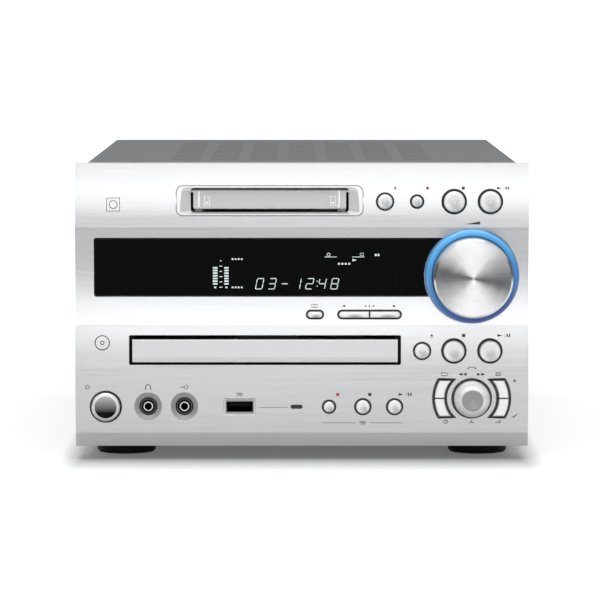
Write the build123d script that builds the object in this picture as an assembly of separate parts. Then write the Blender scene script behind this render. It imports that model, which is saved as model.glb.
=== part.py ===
from build123d import *
import math
import os

# Compact disc and cartridge receiver, in millimetres.
# +Z is up, the controls face -Y, and the origin is the middle of the footprint on the shelf.
# A depth is measured back from the foremost plane of the front panel.

# Front panel: one extruded aluminium section with three bands and a lip
FOOT_H = 7.5
LIP_H = 7.0
LOWER_BAND_H = 54.9
MIDDLE_BAND_H = 49.6
TOP_BAND_H = 32.0
PANEL_BACK = 6.0
TOP_EDGE_DEPTH = 3.4
UPPER_CREASE_DEPTH = 1.2
UPPER_STEP = 0.3
LOWER_CREASE_DEPTH = 0.9
LOWER_STEP = 0.3
LIP_CREASE_DEPTH = 1.4
LIP_STEP = 0.3
LIP_SLANT = 1.7
TOP_BULGE = 0.7
MIDDLE_HOLLOW = 1.4
LOWER_BULGE = 1.2
FIT = 0.2
TOUCH = 0.05

# Across the drawer's row, which with the drawer's slot adds up to the panel's width
LEFT_MARGIN = 27.3
EJECT_GAP = 10.7
STOP_PITCH = 16.1
PLAY_PITCH = 18.3
RIGHT_MARGIN = 19.6

# Compact disc drawer
DISC_R = 60.6
SMALL_DISC_R = 40.6
SMALL_DISC_STEP = 0.8
TRAY_SIDE = 3.4
TRAY_LIP = 6.2
TRAY_HELD = 42.0
TRAY_H = 6.0
TRAY_SEAT = 3.2
TRAY_TRAVEL = 130.0
TRAY_WINDOW_W = 34.0
TRAY_WINDOW_FRONT = 19.0
TRAY_DOOR_OVERHANG = 3.3
TRAY_DOOR_H = 11.5
TRAY_DOOR_T = 3.8
TRAY_DOOR_PROUD = 0.6
TRAY_DOOR_SLANT_H = 2.6
TRAY_DOOR_SLANT = 0.9
TRAY_DOOR_EDGE = 0.4
SLOT_SIDE_GAP = 1.7
SLOT_FOOT_GAP = 1.35
SLOT_TOP_GAP = 2.25
SLOT_DROP = 5.1
SLOT_CORNER = 0.8
TRAY_IN_SLOT = 2.8
RAIL_W = 2.4
RAIL_H = 2.0
RAIL_RISE = 1.0
RAIL_PLAY = 0.15

# Cartridge slot: bezel, swinging door and the carrier behind
MOUTH_W = 80.2
MOUTH_H = 12.3
MOUTH_CORNER = 1.6
MOUTH_DEPTH = 5.0
MOUTH_RISE = 13.55
BEZEL_SIDE = 6.95
BEZEL_EDGE = 1.15
BEZEL_CORNER = 3.0
BEZEL_RIM = 0.9
THROAT_BACK = 14.0
THROAT_WALL = 1.2
DOOR_SIDE_GAP = 1.35
DOOR_FOOT_GAP = 1.9
DOOR_TOP_GAP = 0.8
DOOR_T = 1.6
DOOR_DEPTH = 5.4
DOOR_PIN_R = 0.6
DOOR_PIN_PLAY = 0.08
DOOR_PIN_L = 0.7
DOOR_PIN_END_PLAY = 0.2
CARTRIDGE_SIDE = 3.6
CARTRIDGE_H = 6.4
CARTRIDGE_L = 72.0
CARTRIDGE_DROP = 4.55
HOLDER_T = 0.8
HOLDER_DEPTH = 20.4
HEAD_WINDOW_W = 30.0
HEAD_WINDOW_L = 34.0
SPINDLE_WINDOW_W = 20.0
SPINDLE_WINDOW_L = 28.0
SPINDLE_WINDOW_FRONT = 22.0
DECK_DROP = 9.2
DECK_T = 2.0
DECK_BEHIND = 30.0
DECK_SET_BACK = 2.0
DECK_LEG_L = 14.0
DECK_LEG_T = 2.0
DECK_FOOT_W = 6.0
DECK_FOOT_T = 1.2
DECK_RAIL_W = 4.0
DECK_MOTOR_R = 9.0
DECK_MOTOR_H = 12.0

# Front frame, key guide and control board
FRAME_BACK = 20.0
FRAME_WALL = 3.0
FRAME_FLANGE = 2.0
TONGUE = 4.0
TONGUE_RISE = 20.0
GUIDE_T = 2.0
BOSS_W = 4.0
BOSS_SET_IN = 9.0
BOSS_MARGIN = 7.5
BOARD_DEPTH = 16.0
BOARD_T = 1.6
BOARD_GAP = 1.5
BOARD_MARGIN = 3.0
SWITCH_H = 4.0
SWITCH_W = 6.0
SWITCH_REACH = 0.1
ENCODER_W = 12.0
ENCODER_H = 6.5
KEY_TRAVEL = 0.8
KEY_PLAY = 0.3
COLLAR_SET_BACK = 0.5
FLANGE_T = 1.0
FLANGE_LIP = 0.9
STEM_W = 3.0

# Round keys: cap radius, width of the dark ring round the cap, and how far the cap stands out
LARGE_R = 5.25
LARGE_RING = 1.25
LARGE_PROUD = 3.0
MEDIUM_R = 3.7
MEDIUM_RING = 1.0
MEDIUM_PROUD = 2.6
USB_KEY_R = 3.4
SMALL_R = 2.65
SMALL_RING = 1.05
SMALL_PROUD = 2.2
POWER_R = 7.2
POWER_RING = 0.55
POWER_PROUD = 3.0
CAP_CHAMFER = 0.5
DISH_SHARE = 0.66
DISH_DEPTH = 0.5
KEY_ROW_RISE = 13.1
KEY_ROW_DROP = 13.1
RECORD_PITCH = 18.8
MD_EJECT_PITCH = 16.2
MD_EJECT_GAP = 11.35

# Pill keys below the display
PILL_RISE = 5.3
DISPLAY_KEY_W = 7.4
INPUT_KEY_W = 30.9
INPUT_FROM_KNOB = 51.9
DISPLAY_FROM_INPUT = 27.7
PILL_H = 3.0
PILL_RING = 1.0
PILL_PROUD = 1.6
KEY_SPLIT = 0.7

# Row of sockets: distances from the panel's left edge on, each from the one before
SOCKET_RISE = 13.3
POWER_MARGIN = 15.4
PHONES_FROM_POWER = 21.5
LINE_IN_FROM_PHONES = 18.4
USB_FROM_LINE_IN = 28.1
LED_FROM_USB = 28.9
USB_RECORD_FROM_LED = 16.5
USB_STOP_PITCH = 17.2
USB_PLAY_PITCH = 16.1
JACK_DISH_R = 7.0
JACK_DISH_DEPTH = 2.2
JACK_DISH_FLARE = 0.6
JACK_R = 4.0
JACK_BORE_R = 1.8
JACK_BORE_L = 15.0
JACK_LIP_R = 2.35
JACK_LIP = 0.4
JACK_BODY = 10.0
JACK_BODY_W = 11.0
JACK_EAR_W = 15.0
JACK_EAR_T = 2.0
JACK_END = 2.5
USB_W = 12.5
USB_H = 5.12
USB_WALL = 0.45
USB_LIP = 1.1
USB_LIP_T = 0.4
USB_FRAME_W = 16.5
USB_FRAME_H = 8.7
USB_FRAME_DEPTH = 0.8
USB_FRAME_CORNER = 0.5
USB_TONGUE_T = 1.84
USB_TONGUE_GAP = 0.6
USB_TONGUE_SET_BACK = 1.2
USB_L = 13.0
LED_W = 6.2
LED_H = 2.1

# Jog dial and the four curved keys round it
JOG_RISE = 17.6
JOG_R = 9.05
JOG_RING = 0.75
JOG_TOP_R = 5.6
JOG_TOP_EDGE = 0.8
JOG_WAIST_R = 7.2
JOG_WAIST_DROP = 1.9
JOG_SHOULDER_R = 8.35
JOG_SHOULDER_DROP = 3.8
JOG_BODY_DROP = 5.8
JOG_PROUD = 11.0
JOG_DISH = 0.8
JOG_SKIRT = 2.5
JOG_TRAVEL = 0.6
SPINDLE_R = 3.0
ARC_IN = 13.9
ARC_OUT = 18.7
ARC_HALF_H = 9.0
ARC_RING = 1.0
ARC_PROUD = 1.6

# Volume knob and the lit ring round it
KNOB_RISE = 24.9
KNOB_R = 20.0
KNOB_PROUD = 17.0
KNOB_CHAMFER = 1.0
KNOB_SKIRT_DEPTH = 2.5
KNOB_RECESS_R = 11.0
KNOB_RECESS = 6.0
RING_R = 23.8
RING_GAP = 0.5
RING_PROUD = 3.2
RING_ROUND = 0.9
SPINDLE_CLEARANCE = 0.06

# Display window and the display behind it
WINDOW_MARGIN = 9.7
WINDOW_RISE = 14.5
WINDOW_DROP = 5.5
WINDOW_CORNER = 1.2
WINDOW_FACE = 1.7
WINDOW_BEVEL = 0.6
DISPLAY_MARGIN = 13.7
DISPLAY_H = 23.0
DISPLAY_T = 4.95
DISPLAY_HOLDER_IN = 4.0

# Drawer drive: a rack under the tray, a two-step gear and the motor's pinion
MODULE = 1.0
PRESSURE = math.radians(20)
ADDENDUM = 0.8
DEDENDUM = 1.0
BACKLASH = 0.16
RACK_FROM_RIM = 8.6
RACK_RIB = 3.0
RACK_H = 1.8
RACK_LEAD_TEETH = 2
STEP_TEETH = 14
WHEEL_TEETH = 28
MOTOR_TEETH = 14
GEAR_DEPTH = 40.0
GEAR_PLAY = 0.3
WHEEL_T = 3.0
GEAR_POST_R = 2.5
GEAR_HUB = 2.0
MOTOR_R = 10.0
MOTOR_H = 12.0
MOTOR_SHAFT_R = 1.0
MOTOR_FLAT = 2.0

# Disc mechanism, with heights from the underside of the tray
CHASSIS_WALL = 4.3
CHASSIS_FRONT = 20.2
CHASSIS_BEHIND = 7.0
CHASSIS_DROP = 12.0
CHASSIS_FLOOR_T = 2.0
CHASSIS_RISE = 18.0
WHEEL_DROP = 8.0
GUIDE_RIB_T = 2.25
GUIDE_TAB_L = 12.0
BRIDGE_T = 3.0
BRIDGE_L = 36.0
CLAMP_HOLE_R = 12.0
CLAMP_R = 11.0
CLAMP_FLANGE_R = 15.0
CLAMP_FLANGE_T = 1.5
CLAMP_DROP = 5.5
LEG_R = 3.5
LEG_SET_IN = 9.0
SLED_GAP = 5.0
SLED_T = 3.0
SLED_HALF_W = 30.0
SLED_MARGIN = 8.0
SLED_SLOT_W = 28.0
SLED_PILLAR_R = 3.0
ROD_R = 1.2
ROD_X = 20.0
ROD_SEAT_W = 3.4
ROD_SEAT_T = 2.0
SPINDLE_MOTOR_R = 11.0
TURNTABLE_R = 14.5
TURNTABLE_T = 2.5
TURNTABLE_DROP = 5.5
TURNTABLE_NECK = 2.0
TURNTABLE_NECK_R = 1.5
HUB_R = 7.3
HUB_H = 2.2
PICKUP_INNER = 24.0
PICKUP_TRAVEL = 34.0
PICKUP_L = 16.0
PICKUP_PLAY = 0.3
PICKUP_HEAD_W = 20.0
LENS_R = 3.0
LENS_H = 1.5

# Cabinet
COVER_SET_IN = 4.0
COVER_SET_DOWN = 0.6
COVER_T = 0.9
COVER_L = 320.0
COVER_LOW = 9.5
COVER_FOLD = 1.2
PAN_T = 1.2
PAN_FLANGE_H = 12.0
PAN_GAP = 1.0
REAR_T = 1.2
REAR_SET_IN = 1.0
VENT_COLUMNS = 7
VENT_ROWS = 14
VENT_SIDE_MARGIN = 39.95
VENT_COLUMN_GAP = 5.8
VENT_L = 3.0
VENT_FRONT_MARGIN = 50.0
VENT_BACK_MARGIN = 50.0
FOOT_R = 15.2
FOOT_SET_IN = 19.8
FOOT_FRONT = 45.0
FOOT_BACK = 300.0
FOOT_SOLE_H = 1.2
FOOT_SOLE_IN = 0.9
SCREW_HEAD_R = 2.9
SCREW_HEAD_TOP_R = 2.1
SCREW_HEAD_H = 1.7
SCREW_RISE = 10.5
SCREW_FROM_FRONT = 30.0
SCREW_FROM_BACK = 40.0
SCREW_MARGIN = 8.0

# Power supply and amplifier
TRANSFORMER_W = 54.0
TRANSFORMER_L = 46.0
TRANSFORMER_H = 48.0
TRANSFORMER_MARGIN = 8.0
TRANSFORMER_DEPTH = 262.0
TRANSFORMER_FOOT_W = 6.0
TRANSFORMER_FOOT_T = 1.5
TRANSFORMER_LEG = 12.0
COIL_SIDE = 10.0
COIL_LOW = 10.0
COIL_TOP = 8.0
MAIN_BOARD_RISE = 7.3
MAIN_BOARD_FRONT_GAP = 11.6
MAIN_BOARD_MARGIN = 4.0
MAIN_BOARD_GAP = 2.0
MAIN_BOARD_BACK_GAP = 4.0
STANDOFF_W = 6.0
CAPACITOR_R = 11.0
CAPACITOR_H = 34.0
CAPACITOR_PITCH = 26.0
CAPACITOR_MARGIN = 18.0
RELAY_W = 14.0
RELAY_L = 26.0
RELAY_H = 12.0
CHIP_W = 22.0
CHIP_T = 3.0
PART_PITCH = 34.0
SINK_FINS = 7
SINK_H = 56.0
SINK_W = 62.0
SINK_PLATE_T = 4.0
SINK_FIN_L = 22.0
SINK_FIN_T = 2.0
SINK_MARGIN = 8.0
REAR_VENT_W = 3.0
REAR_VENT_H = 34.0

# Rear terminals
POST_R = 3.0
POST_REACH = 16.0
POST_BORE_R = 2.05
POST_BORE_L = 13.0
POST_PITCH = 19.0
POST_MARGIN = 31.0
POST_RISE = 32.5
POST_PLATE = 18.6
POST_PLATE_T = 3.0
POST_NECK_R = 4.5
POST_INSIDE = 6.0
POST_CAP_R = 6.5
POST_CAP_L = 9.0
POST_CAP_GAP = 1.2
POST_CAP_LOBES = 10
POST_CAP_GROOVE = 0.8
RCA_R = 4.15
RCA_BORE_R = 1.6
RCA_BORE_L = 8.0
RCA_REACH = 9.0
RCA_PITCH = 16.0
RCA_BLOCK = 15.6
RCA_INSIDE = 10.0
RCA_FROM_LEFT = 73.0
TERMINAL_DROP = 39.0
AERIAL_FROM_LEFT = 141.0
AERIAL_R = 4.7
AERIAL_REACH = 10.0
AERIAL_CAN = 16.0
AERIAL_INSIDE = 14.0
AERIAL_EDGE = 0.6
AERIAL_NUT_W = 12.0
AERIAL_NUT_T = 1.8
INLET_MARGIN = 25.0
INLET_RISE = 24.5
INLET_W = 16.0
INLET_H = 8.8
INLET_L = 11.0
INLET_FLANGE = 2.0
INLET_FLANGE_W = 26.0
INLET_FLANGE_H = 18.0
INLET_BODY_W = 21.6
INLET_BODY_H = 13.6
INLET_FLOOR = 3.0
INLET_PIN_R = 1.2
INLET_PIN_X = 4.3
INLET_PIN_L = 9.0

# Widths worked out from the sizes above
TRAY_W = 2 * (DISC_R + TRAY_SIDE)
TRAY_DOOR_W = TRAY_W + 2 * TRAY_DOOR_OVERHANG
SLOT_W = TRAY_DOOR_W + 2 * SLOT_SIDE_GAP
PANEL_W = LEFT_MARGIN + SLOT_W + EJECT_GAP + STOP_PITCH + PLAY_PITCH + RIGHT_MARGIN
PANEL_LEFT = -PANEL_W / 2
CD_X = PANEL_LEFT + LEFT_MARGIN + SLOT_W / 2
CD_EJECT_X = CD_X + SLOT_W / 2 + EJECT_GAP
STOP_X = CD_EJECT_X + STOP_PITCH
PLAY_X = STOP_X + PLAY_PITCH
KNOB_X = (STOP_X + PLAY_X) / 2
JOG_X = KNOB_X
MD_RECORD_X = STOP_X - RECORD_PITCH
MD_EJECT_X = MD_RECORD_X - MD_EJECT_PITCH
BEZEL_W = MOUTH_W + 2 * BEZEL_SIDE
MD_X = MD_EJECT_X - MD_EJECT_GAP - BEZEL_W / 2
DOOR_W = MOUTH_W - 2 * DOOR_SIDE_GAP
CARTRIDGE_W = MOUTH_W - 2 * CARTRIDGE_SIDE
WINDOW_LEFT = PANEL_LEFT + WINDOW_MARGIN
DISPLAY_LEFT = WINDOW_LEFT + DISPLAY_MARGIN
DISPLAY_RIGHT = KNOB_X - RING_R - DISPLAY_MARGIN
INPUT_KEY_X = KNOB_X - INPUT_FROM_KNOB
DISPLAY_KEY_X = INPUT_KEY_X - DISPLAY_FROM_INPUT
POWER_X = PANEL_LEFT + POWER_MARGIN
PHONES_X = POWER_X + PHONES_FROM_POWER
LINE_IN_X = PHONES_X + LINE_IN_FROM_PHONES
USB_X = LINE_IN_X + USB_FROM_LINE_IN
LED_X = USB_X + LED_FROM_USB
USB_RECORD_X = LED_X + USB_RECORD_FROM_LED
USB_STOP_X = USB_RECORD_X + USB_STOP_PITCH
USB_PLAY_X = USB_STOP_X + USB_PLAY_PITCH
ARC_MIDDLE = (ARC_IN + ARC_OUT) / 2
COVER_W = PANEL_W - 2 * COVER_SET_IN
COVER_INNER = COVER_W / 2 - COVER_T
FOOT_X = COVER_W / 2 - FOOT_SET_IN
PAN_INNER = COVER_INNER - FIT - PAN_T
TRANSFORMER_X = PAN_INNER - TRANSFORMER_MARGIN - TRANSFORMER_W / 2
MAIN_BOARD_LEFT = -PAN_INNER + MAIN_BOARD_MARGIN
MAIN_BOARD_RIGHT = TRANSFORMER_X - TRANSFORMER_W / 2 - MAIN_BOARD_GAP
SINK_X = (MAIN_BOARD_LEFT + MAIN_BOARD_RIGHT) / 2 + SINK_FIN_L
CHASSIS_INNER = TRAY_W / 2 + RAIL_W + 2 * RAIL_PLAY
CHASSIS_HALF_W = CHASSIS_INNER + CHASSIS_WALL
RACK_PITCH_X = CD_X - DISC_R + RACK_FROM_RIM
GEAR_X = RACK_PITCH_X + MODULE * STEP_TEETH / 2
POST_X = -COVER_W / 2 + POST_MARGIN
RCA_X = -COVER_W / 2 + RCA_FROM_LEFT
AERIAL_X = -COVER_W / 2 + AERIAL_FROM_LEFT
INLET_X = COVER_W / 2 - INLET_MARGIN

# Heights worked out from the sizes above
LIP_CREASE_Z = FOOT_H + LIP_H
LOWER_CREASE_Z = LIP_CREASE_Z + LOWER_BAND_H
UPPER_CREASE_Z = LOWER_CREASE_Z + MIDDLE_BAND_H
PANEL_TOP = UPPER_CREASE_Z + TOP_BAND_H
COVER_TOP = PANEL_TOP - COVER_SET_DOWN
PAN_TOP = FOOT_H + PAN_T
SOCKET_ROW_Z = LIP_CREASE_Z + SOCKET_RISE
JOG_Z = LIP_CREASE_Z + JOG_RISE
CD_ROW_Z = LOWER_CREASE_Z - KEY_ROW_DROP
PILL_ROW_Z = LOWER_CREASE_Z + PILL_RISE
KNOB_Z = LOWER_CREASE_Z + KNOB_RISE
WINDOW_LOW = LOWER_CREASE_Z + WINDOW_RISE
WINDOW_HIGH = UPPER_CREASE_Z - WINDOW_DROP
MD_ROW_Z = UPPER_CREASE_Z + KEY_ROW_RISE
MD_Z = UPPER_CREASE_Z + MOUTH_RISE
BEZEL_H = MOUTH_H + 2 * BEZEL_EDGE
DOOR_TOP = MD_Z + MOUTH_H / 2 - DOOR_TOP_GAP
DOOR_LOW = MD_Z - MOUTH_H / 2 + DOOR_FOOT_GAP
CARTRIDGE_LOW = MD_Z - CARTRIDGE_DROP
DECK_Z = CARTRIDGE_LOW - HOLDER_T - DECK_DROP
SLOT_H = SLOT_FOOT_GAP + TRAY_DOOR_H + SLOT_TOP_GAP
SLOT_Z = LOWER_CREASE_Z - SLOT_DROP - SLOT_H / 2
TRAY_DOOR_LOW = SLOT_Z - SLOT_H / 2 + SLOT_FOOT_GAP
TRAY_DOOR_TOP = TRAY_DOOR_LOW + TRAY_DOOR_H
TRAY_LOW = SLOT_Z - SLOT_H / 2 + TRAY_IN_SLOT
TRAY_TOP = TRAY_LOW + TRAY_H
DISC_FLOOR = TRAY_TOP - TRAY_SEAT
RAIL_LOW = TRAY_LOW + RAIL_RISE
CHASSIS_FLOOR = TRAY_LOW - CHASSIS_DROP
CHASSIS_TOP = TRAY_LOW + CHASSIS_RISE
WHEEL_LOW = TRAY_LOW - WHEEL_DROP
TURNTABLE_Z = TRAY_LOW - TURNTABLE_DROP
SLED_TOP = CHASSIS_FLOOR - SLED_GAP
MAIN_BOARD_Z = PAN_TOP + MAIN_BOARD_RISE
POST_Z = FOOT_H + POST_RISE
INLET_Z = FOOT_H + INLET_RISE
TERMINAL_Z = PANEL_TOP - TERMINAL_DROP

# Depths worked out from the sizes above
GUIDE_BACK = PANEL_BACK + GUIDE_T
SWITCH_FRONT = BOARD_DEPTH - SWITCH_H
STEM_BACK = SWITCH_FRONT - KEY_TRAVEL - SWITCH_REACH
REAR_DEPTH = FRAME_BACK + COVER_L
REAR_FACE = REAR_DEPTH - REAR_SET_IN
REAR_INNER = REAR_FACE - REAR_T
FRONT_Y = (KNOB_PROUD - REAR_DEPTH - POST_REACH) / 2
TRAY_FRONT = TRAY_DOOR_T - TRAY_DOOR_PROUD
TRAY_BACK = TRAY_FRONT + TRAY_TRAVEL + TRAY_HELD
DISC_DEPTH = TRAY_FRONT + TRAY_LIP + DISC_R
PICKUP_BACK = DISC_DEPTH + PICKUP_INNER + PICKUP_TRAVEL + PICKUP_L / 2
CHASSIS_BACK = TRAY_BACK + CHASSIS_BEHIND
MOTOR_DEPTH = GEAR_DEPTH + MODULE * (WHEEL_TEETH + MOTOR_TEETH) / 2
MAIN_BOARD_FRONT = CHASSIS_BACK + MAIN_BOARD_FRONT_GAP
MAIN_BOARD_BACK = REAR_INNER - MAIN_BOARD_BACK_GAP
RACK_PITCH = math.pi * MODULE
BANDS = {
    "lower": ((LIP_CREASE_Z, LIP_CREASE_DEPTH), (LOWER_CREASE_Z, LOWER_CREASE_DEPTH), LOWER_BULGE),
    "middle": ((LOWER_CREASE_Z, LOWER_CREASE_DEPTH + LOWER_STEP),
               (UPPER_CREASE_Z, UPPER_CREASE_DEPTH + UPPER_STEP), -MIDDLE_HOLLOW),
    "top": ((UPPER_CREASE_Z, UPPER_CREASE_DEPTH), (PANEL_TOP, TOP_EDGE_DEPTH), TOP_BULGE),
}


# Drawing helpers
def block(x0, x1, d0, d1, z0, z1):
    """A box between limits in X, in depth and in Z."""
    centre = Pos((x0 + x1) / 2, FRONT_Y + (d0 + d1) / 2, (z0 + z1) / 2)
    return centre * Box(x1 - x0, d1 - d0, z1 - z0)


def slab(x, z, width, height, d0, d1):
    """A box round a middle in X and Z, from depth d0 to depth d1."""
    return block(x - width / 2, x + width / 2, d0, d1, z - height / 2, z + height / 2)


def prism(sketch, d0, d1):
    """A sketch drawn in X and Z, pulled from depth d0 to depth d1."""
    plane = Plane(origin=(0, FRONT_Y + d1, 0), x_dir=(1, 0, 0), z_dir=(0, -1, 0))
    return extrude(plane * sketch, amount=d1 - d0)


def turned(points, x, z):
    """An outline of (radius, depth) points turned about an axis along the depth."""
    outline = Pos(x, FRONT_Y, z) * make_face(Polyline(*points, close=True))
    return revolve(outline, Axis((x, FRONT_Y, z), (0, 1, 0)))


def upright(points, x, depth):
    """An outline of (radius, height) points turned about a vertical axis."""
    spot = Plane(origin=(x, FRONT_Y + depth, 0), x_dir=(1, 0, 0), z_dir=(0, -1, 0))
    outline = spot * make_face(Polyline(*points, close=True))
    return revolve(outline, Axis((x, FRONT_Y + depth, 0), (0, 0, 1)))


def rod(x, z, radius, d0, d1):
    """A round bar along the depth."""
    return prism(Pos(x, z) * Circle(radius), d0, d1)


def post(x, depth, radius, z0, z1):
    """A round bar standing upright."""
    return Pos(x, FRONT_Y + depth, (z0 + z1) / 2) * Cylinder(radius, z1 - z0)


def front_edges(part):
    """The edges round the face of a part that looks forward."""
    return part.faces().sort_by(Axis.Y)[0].edges()


def band_middle(low, high, bulge):
    """The point at half height of a band's arc."""
    return ((low[0] + high[0]) / 2, (low[1] + high[1]) / 2 - bulge)


def surface(z):
    """Depth of the front panel's face at a height."""
    for low, high, bulge in BANDS.values():
        if low[0] <= z <= high[0]:
            half = (high[0] - low[0]) / 2
            along = (z - low[0]) / half - 1
            radius = (half * half + bulge * bulge) / (2 * abs(bulge))
            rise = math.sqrt(radius * radius - (along * half) ** 2) - (radius - abs(bulge))
            chord = low[1] + (high[1] - low[1]) * (along + 1) / 2
            return chord - math.copysign(rise, bulge)
    return LIP_CREASE_DEPTH + LIP_STEP


# Outlines of the controls, each of which can be grown by a margin
def round_cap(x, z, radius):
    return lambda grow=0.0: Pos(x, z) * Circle(radius + grow)


def pill_cap(x, z, width, height):
    return lambda grow=0.0: Pos(x, z) * SlotOverall(width + 2 * grow, height + 2 * grow)


def arc_cap(side):
    def outline(grow=0.0):
        ring = Circle(ARC_OUT + grow) - Circle(ARC_IN - grow)
        reach = ARC_OUT + 2 * grow
        strip = Pos(side * reach / 2, 0) * Rectangle(reach, 2 * (ARC_HALF_H + grow))
        return Pos(JOG_X, JOG_Z) * (ring & strip)
    return outline


def half_plane(x, z, side_x, side_z):
    """A large square on one side of the line that splits two keys at (x, z)."""
    size = 4 * ARC_OUT
    shift = (size + KEY_SPLIT) / 2
    return Pos(x + side_x * shift, z + side_z * shift) * Rectangle(size, size)


# name: x, z, cap radius, ring, proud
ROUND_KEYS = {
    "md_eject_key": (MD_EJECT_X, MD_ROW_Z, MEDIUM_R, MEDIUM_RING, MEDIUM_PROUD),
    "md_record_key": (MD_RECORD_X, MD_ROW_Z, SMALL_R, SMALL_RING, SMALL_PROUD),
    "md_stop_key": (STOP_X, MD_ROW_Z, LARGE_R, LARGE_RING, LARGE_PROUD),
    "md_play_key": (PLAY_X, MD_ROW_Z, LARGE_R, LARGE_RING, LARGE_PROUD),
    "cd_eject_key": (CD_EJECT_X, CD_ROW_Z, MEDIUM_R, MEDIUM_RING, MEDIUM_PROUD),
    "cd_stop_key": (STOP_X, CD_ROW_Z, LARGE_R, LARGE_RING, LARGE_PROUD),
    "cd_play_key": (PLAY_X, CD_ROW_Z, LARGE_R, LARGE_RING, LARGE_PROUD),
    "usb_record_key": (USB_RECORD_X, SOCKET_ROW_Z, SMALL_R, SMALL_RING, SMALL_PROUD),
    "usb_stop_key": (USB_STOP_X, SOCKET_ROW_Z, USB_KEY_R, SMALL_RING, SMALL_PROUD),
    "usb_play_key": (USB_PLAY_X, SOCKET_ROW_Z, USB_KEY_R, SMALL_RING, SMALL_PROUD),
    "power_key": (POWER_X, SOCKET_ROW_Z, POWER_R, POWER_RING, POWER_PROUD),
}
# Openings that may hold two keys: outline, middle height, ring, proud, and each key's place
# as the middle of its cap, and the line and side that part it from its neighbour
SHAPED_OPENINGS = (
    (pill_cap(DISPLAY_KEY_X, PILL_ROW_Z, DISPLAY_KEY_W, PILL_H), PILL_ROW_Z, PILL_RING, PILL_PROUD,
     {"display_key": (DISPLAY_KEY_X, PILL_ROW_Z, None)}),
    (pill_cap(INPUT_KEY_X, PILL_ROW_Z, INPUT_KEY_W, PILL_H), PILL_ROW_Z, PILL_RING, PILL_PROUD,
     {"input_left_key": (INPUT_KEY_X - INPUT_KEY_W / 4, PILL_ROW_Z,
                         half_plane(INPUT_KEY_X, PILL_ROW_Z, -1, 0)),
      "input_right_key": (INPUT_KEY_X + INPUT_KEY_W / 4, PILL_ROW_Z,
                          half_plane(INPUT_KEY_X, PILL_ROW_Z, 1, 0))}),
    (arc_cap(-1), JOG_Z, ARC_RING, ARC_PROUD,
     {"group_key": (JOG_X - ARC_MIDDLE, JOG_Z + ARC_HALF_H / 2, half_plane(JOG_X, JOG_Z, 0, 1)),
      "timer_key": (JOG_X - ARC_MIDDLE, JOG_Z - ARC_HALF_H / 2, half_plane(JOG_X, JOG_Z, 0, -1))}),
    (arc_cap(1), JOG_Z, ARC_RING, ARC_PROUD,
     {"menu_key": (JOG_X + ARC_MIDDLE, JOG_Z + ARC_HALF_H / 2, half_plane(JOG_X, JOG_Z, 0, 1)),
      "mode_key": (JOG_X + ARC_MIDDLE, JOG_Z - ARC_HALF_H / 2, half_plane(JOG_X, JOG_Z, 0, -1))}),
)


def all_openings():
    """Every key opening as (outline, ring, height of its middle)."""
    for x, z, radius, ring, _ in ROUND_KEYS.values():
        yield round_cap(x, z, radius), ring, z
    for outline, z, ring, _, _ in SHAPED_OPENINGS:
        yield outline, ring, z
    yield round_cap(JOG_X, JOG_Z, JOG_R), JOG_RING, JOG_Z


def slot_outline(grow=0.0):
    return Pos(CD_X, SLOT_Z) * RectangleRounded(SLOT_W + 2 * grow, SLOT_H + 2 * grow, SLOT_CORNER)


def bezel_outline(grow=0.0):
    return Pos(MD_X, MD_Z) * RectangleRounded(BEZEL_W + 2 * grow, BEZEL_H + 2 * grow, BEZEL_CORNER)


def throat_outline(grow=0.0):
    width = MOUTH_W + 2 * (THROAT_WALL + grow)
    height = MOUTH_H + 2 * (THROAT_WALL + grow)
    return Pos(MD_X, MD_Z) * RectangleRounded(width, height, MOUTH_CORNER)


def window_outline(grow=0.0):
    """The display window, whose right end is cut away round the lit ring."""
    width = KNOB_X - WINDOW_LEFT + grow
    middle = (WINDOW_LOW + WINDOW_HIGH) / 2
    height = WINDOW_HIGH - WINDOW_LOW + 2 * grow
    glass = Pos(KNOB_X - width / 2, middle) * RectangleRounded(width, height, WINDOW_CORNER)
    return glass - Pos(KNOB_X, KNOB_Z) * Circle(RING_R + 2 * FIT)


def usb_outline():
    """The hole for the bus socket's shell."""
    grow = 2 * (USB_WALL + FIT)
    return Pos(USB_X, SOCKET_ROW_Z) * Rectangle(USB_W + grow, USB_H + grow)


def led_outline(grow=0.0):
    return Pos(LED_X, SOCKET_ROW_Z) * SlotOverall(LED_W + 2 * grow, LED_H + 2 * grow)


# Front of the set
def panel_section():
    """The panel's section in depth and height, as one face to be pulled along X."""
    edges = []
    previous = (PANEL_BACK, FOOT_H)
    lip_foot = (LIP_CREASE_DEPTH + LIP_STEP + LIP_SLANT, FOOT_H)
    lip_head = (LIP_CREASE_DEPTH + LIP_STEP, LIP_CREASE_Z)
    edges.append(Line(previous, lip_foot))
    edges.append(Line(lip_foot, lip_head))
    previous = lip_head
    for low, high, bulge in BANDS.values():
        start, end = (low[1], low[0]), (high[1], high[0])
        middle = band_middle(low, high, bulge)
        if start != previous:
            edges.append(Line(previous, start))
        edges.append(ThreePointArc(start, (middle[1], middle[0]), end))
        previous = end
    edges.append(Line(previous, (PANEL_BACK, PANEL_TOP)))
    edges.append(Line((PANEL_BACK, PANEL_TOP), (PANEL_BACK, FOOT_H)))
    section = Pos(FRONT_Y, 0) * make_face(Curve() + edges)
    return Plane.YZ * section


def panel_body():
    return extrude(panel_section(), PANEL_W / 2, both=True)


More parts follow.
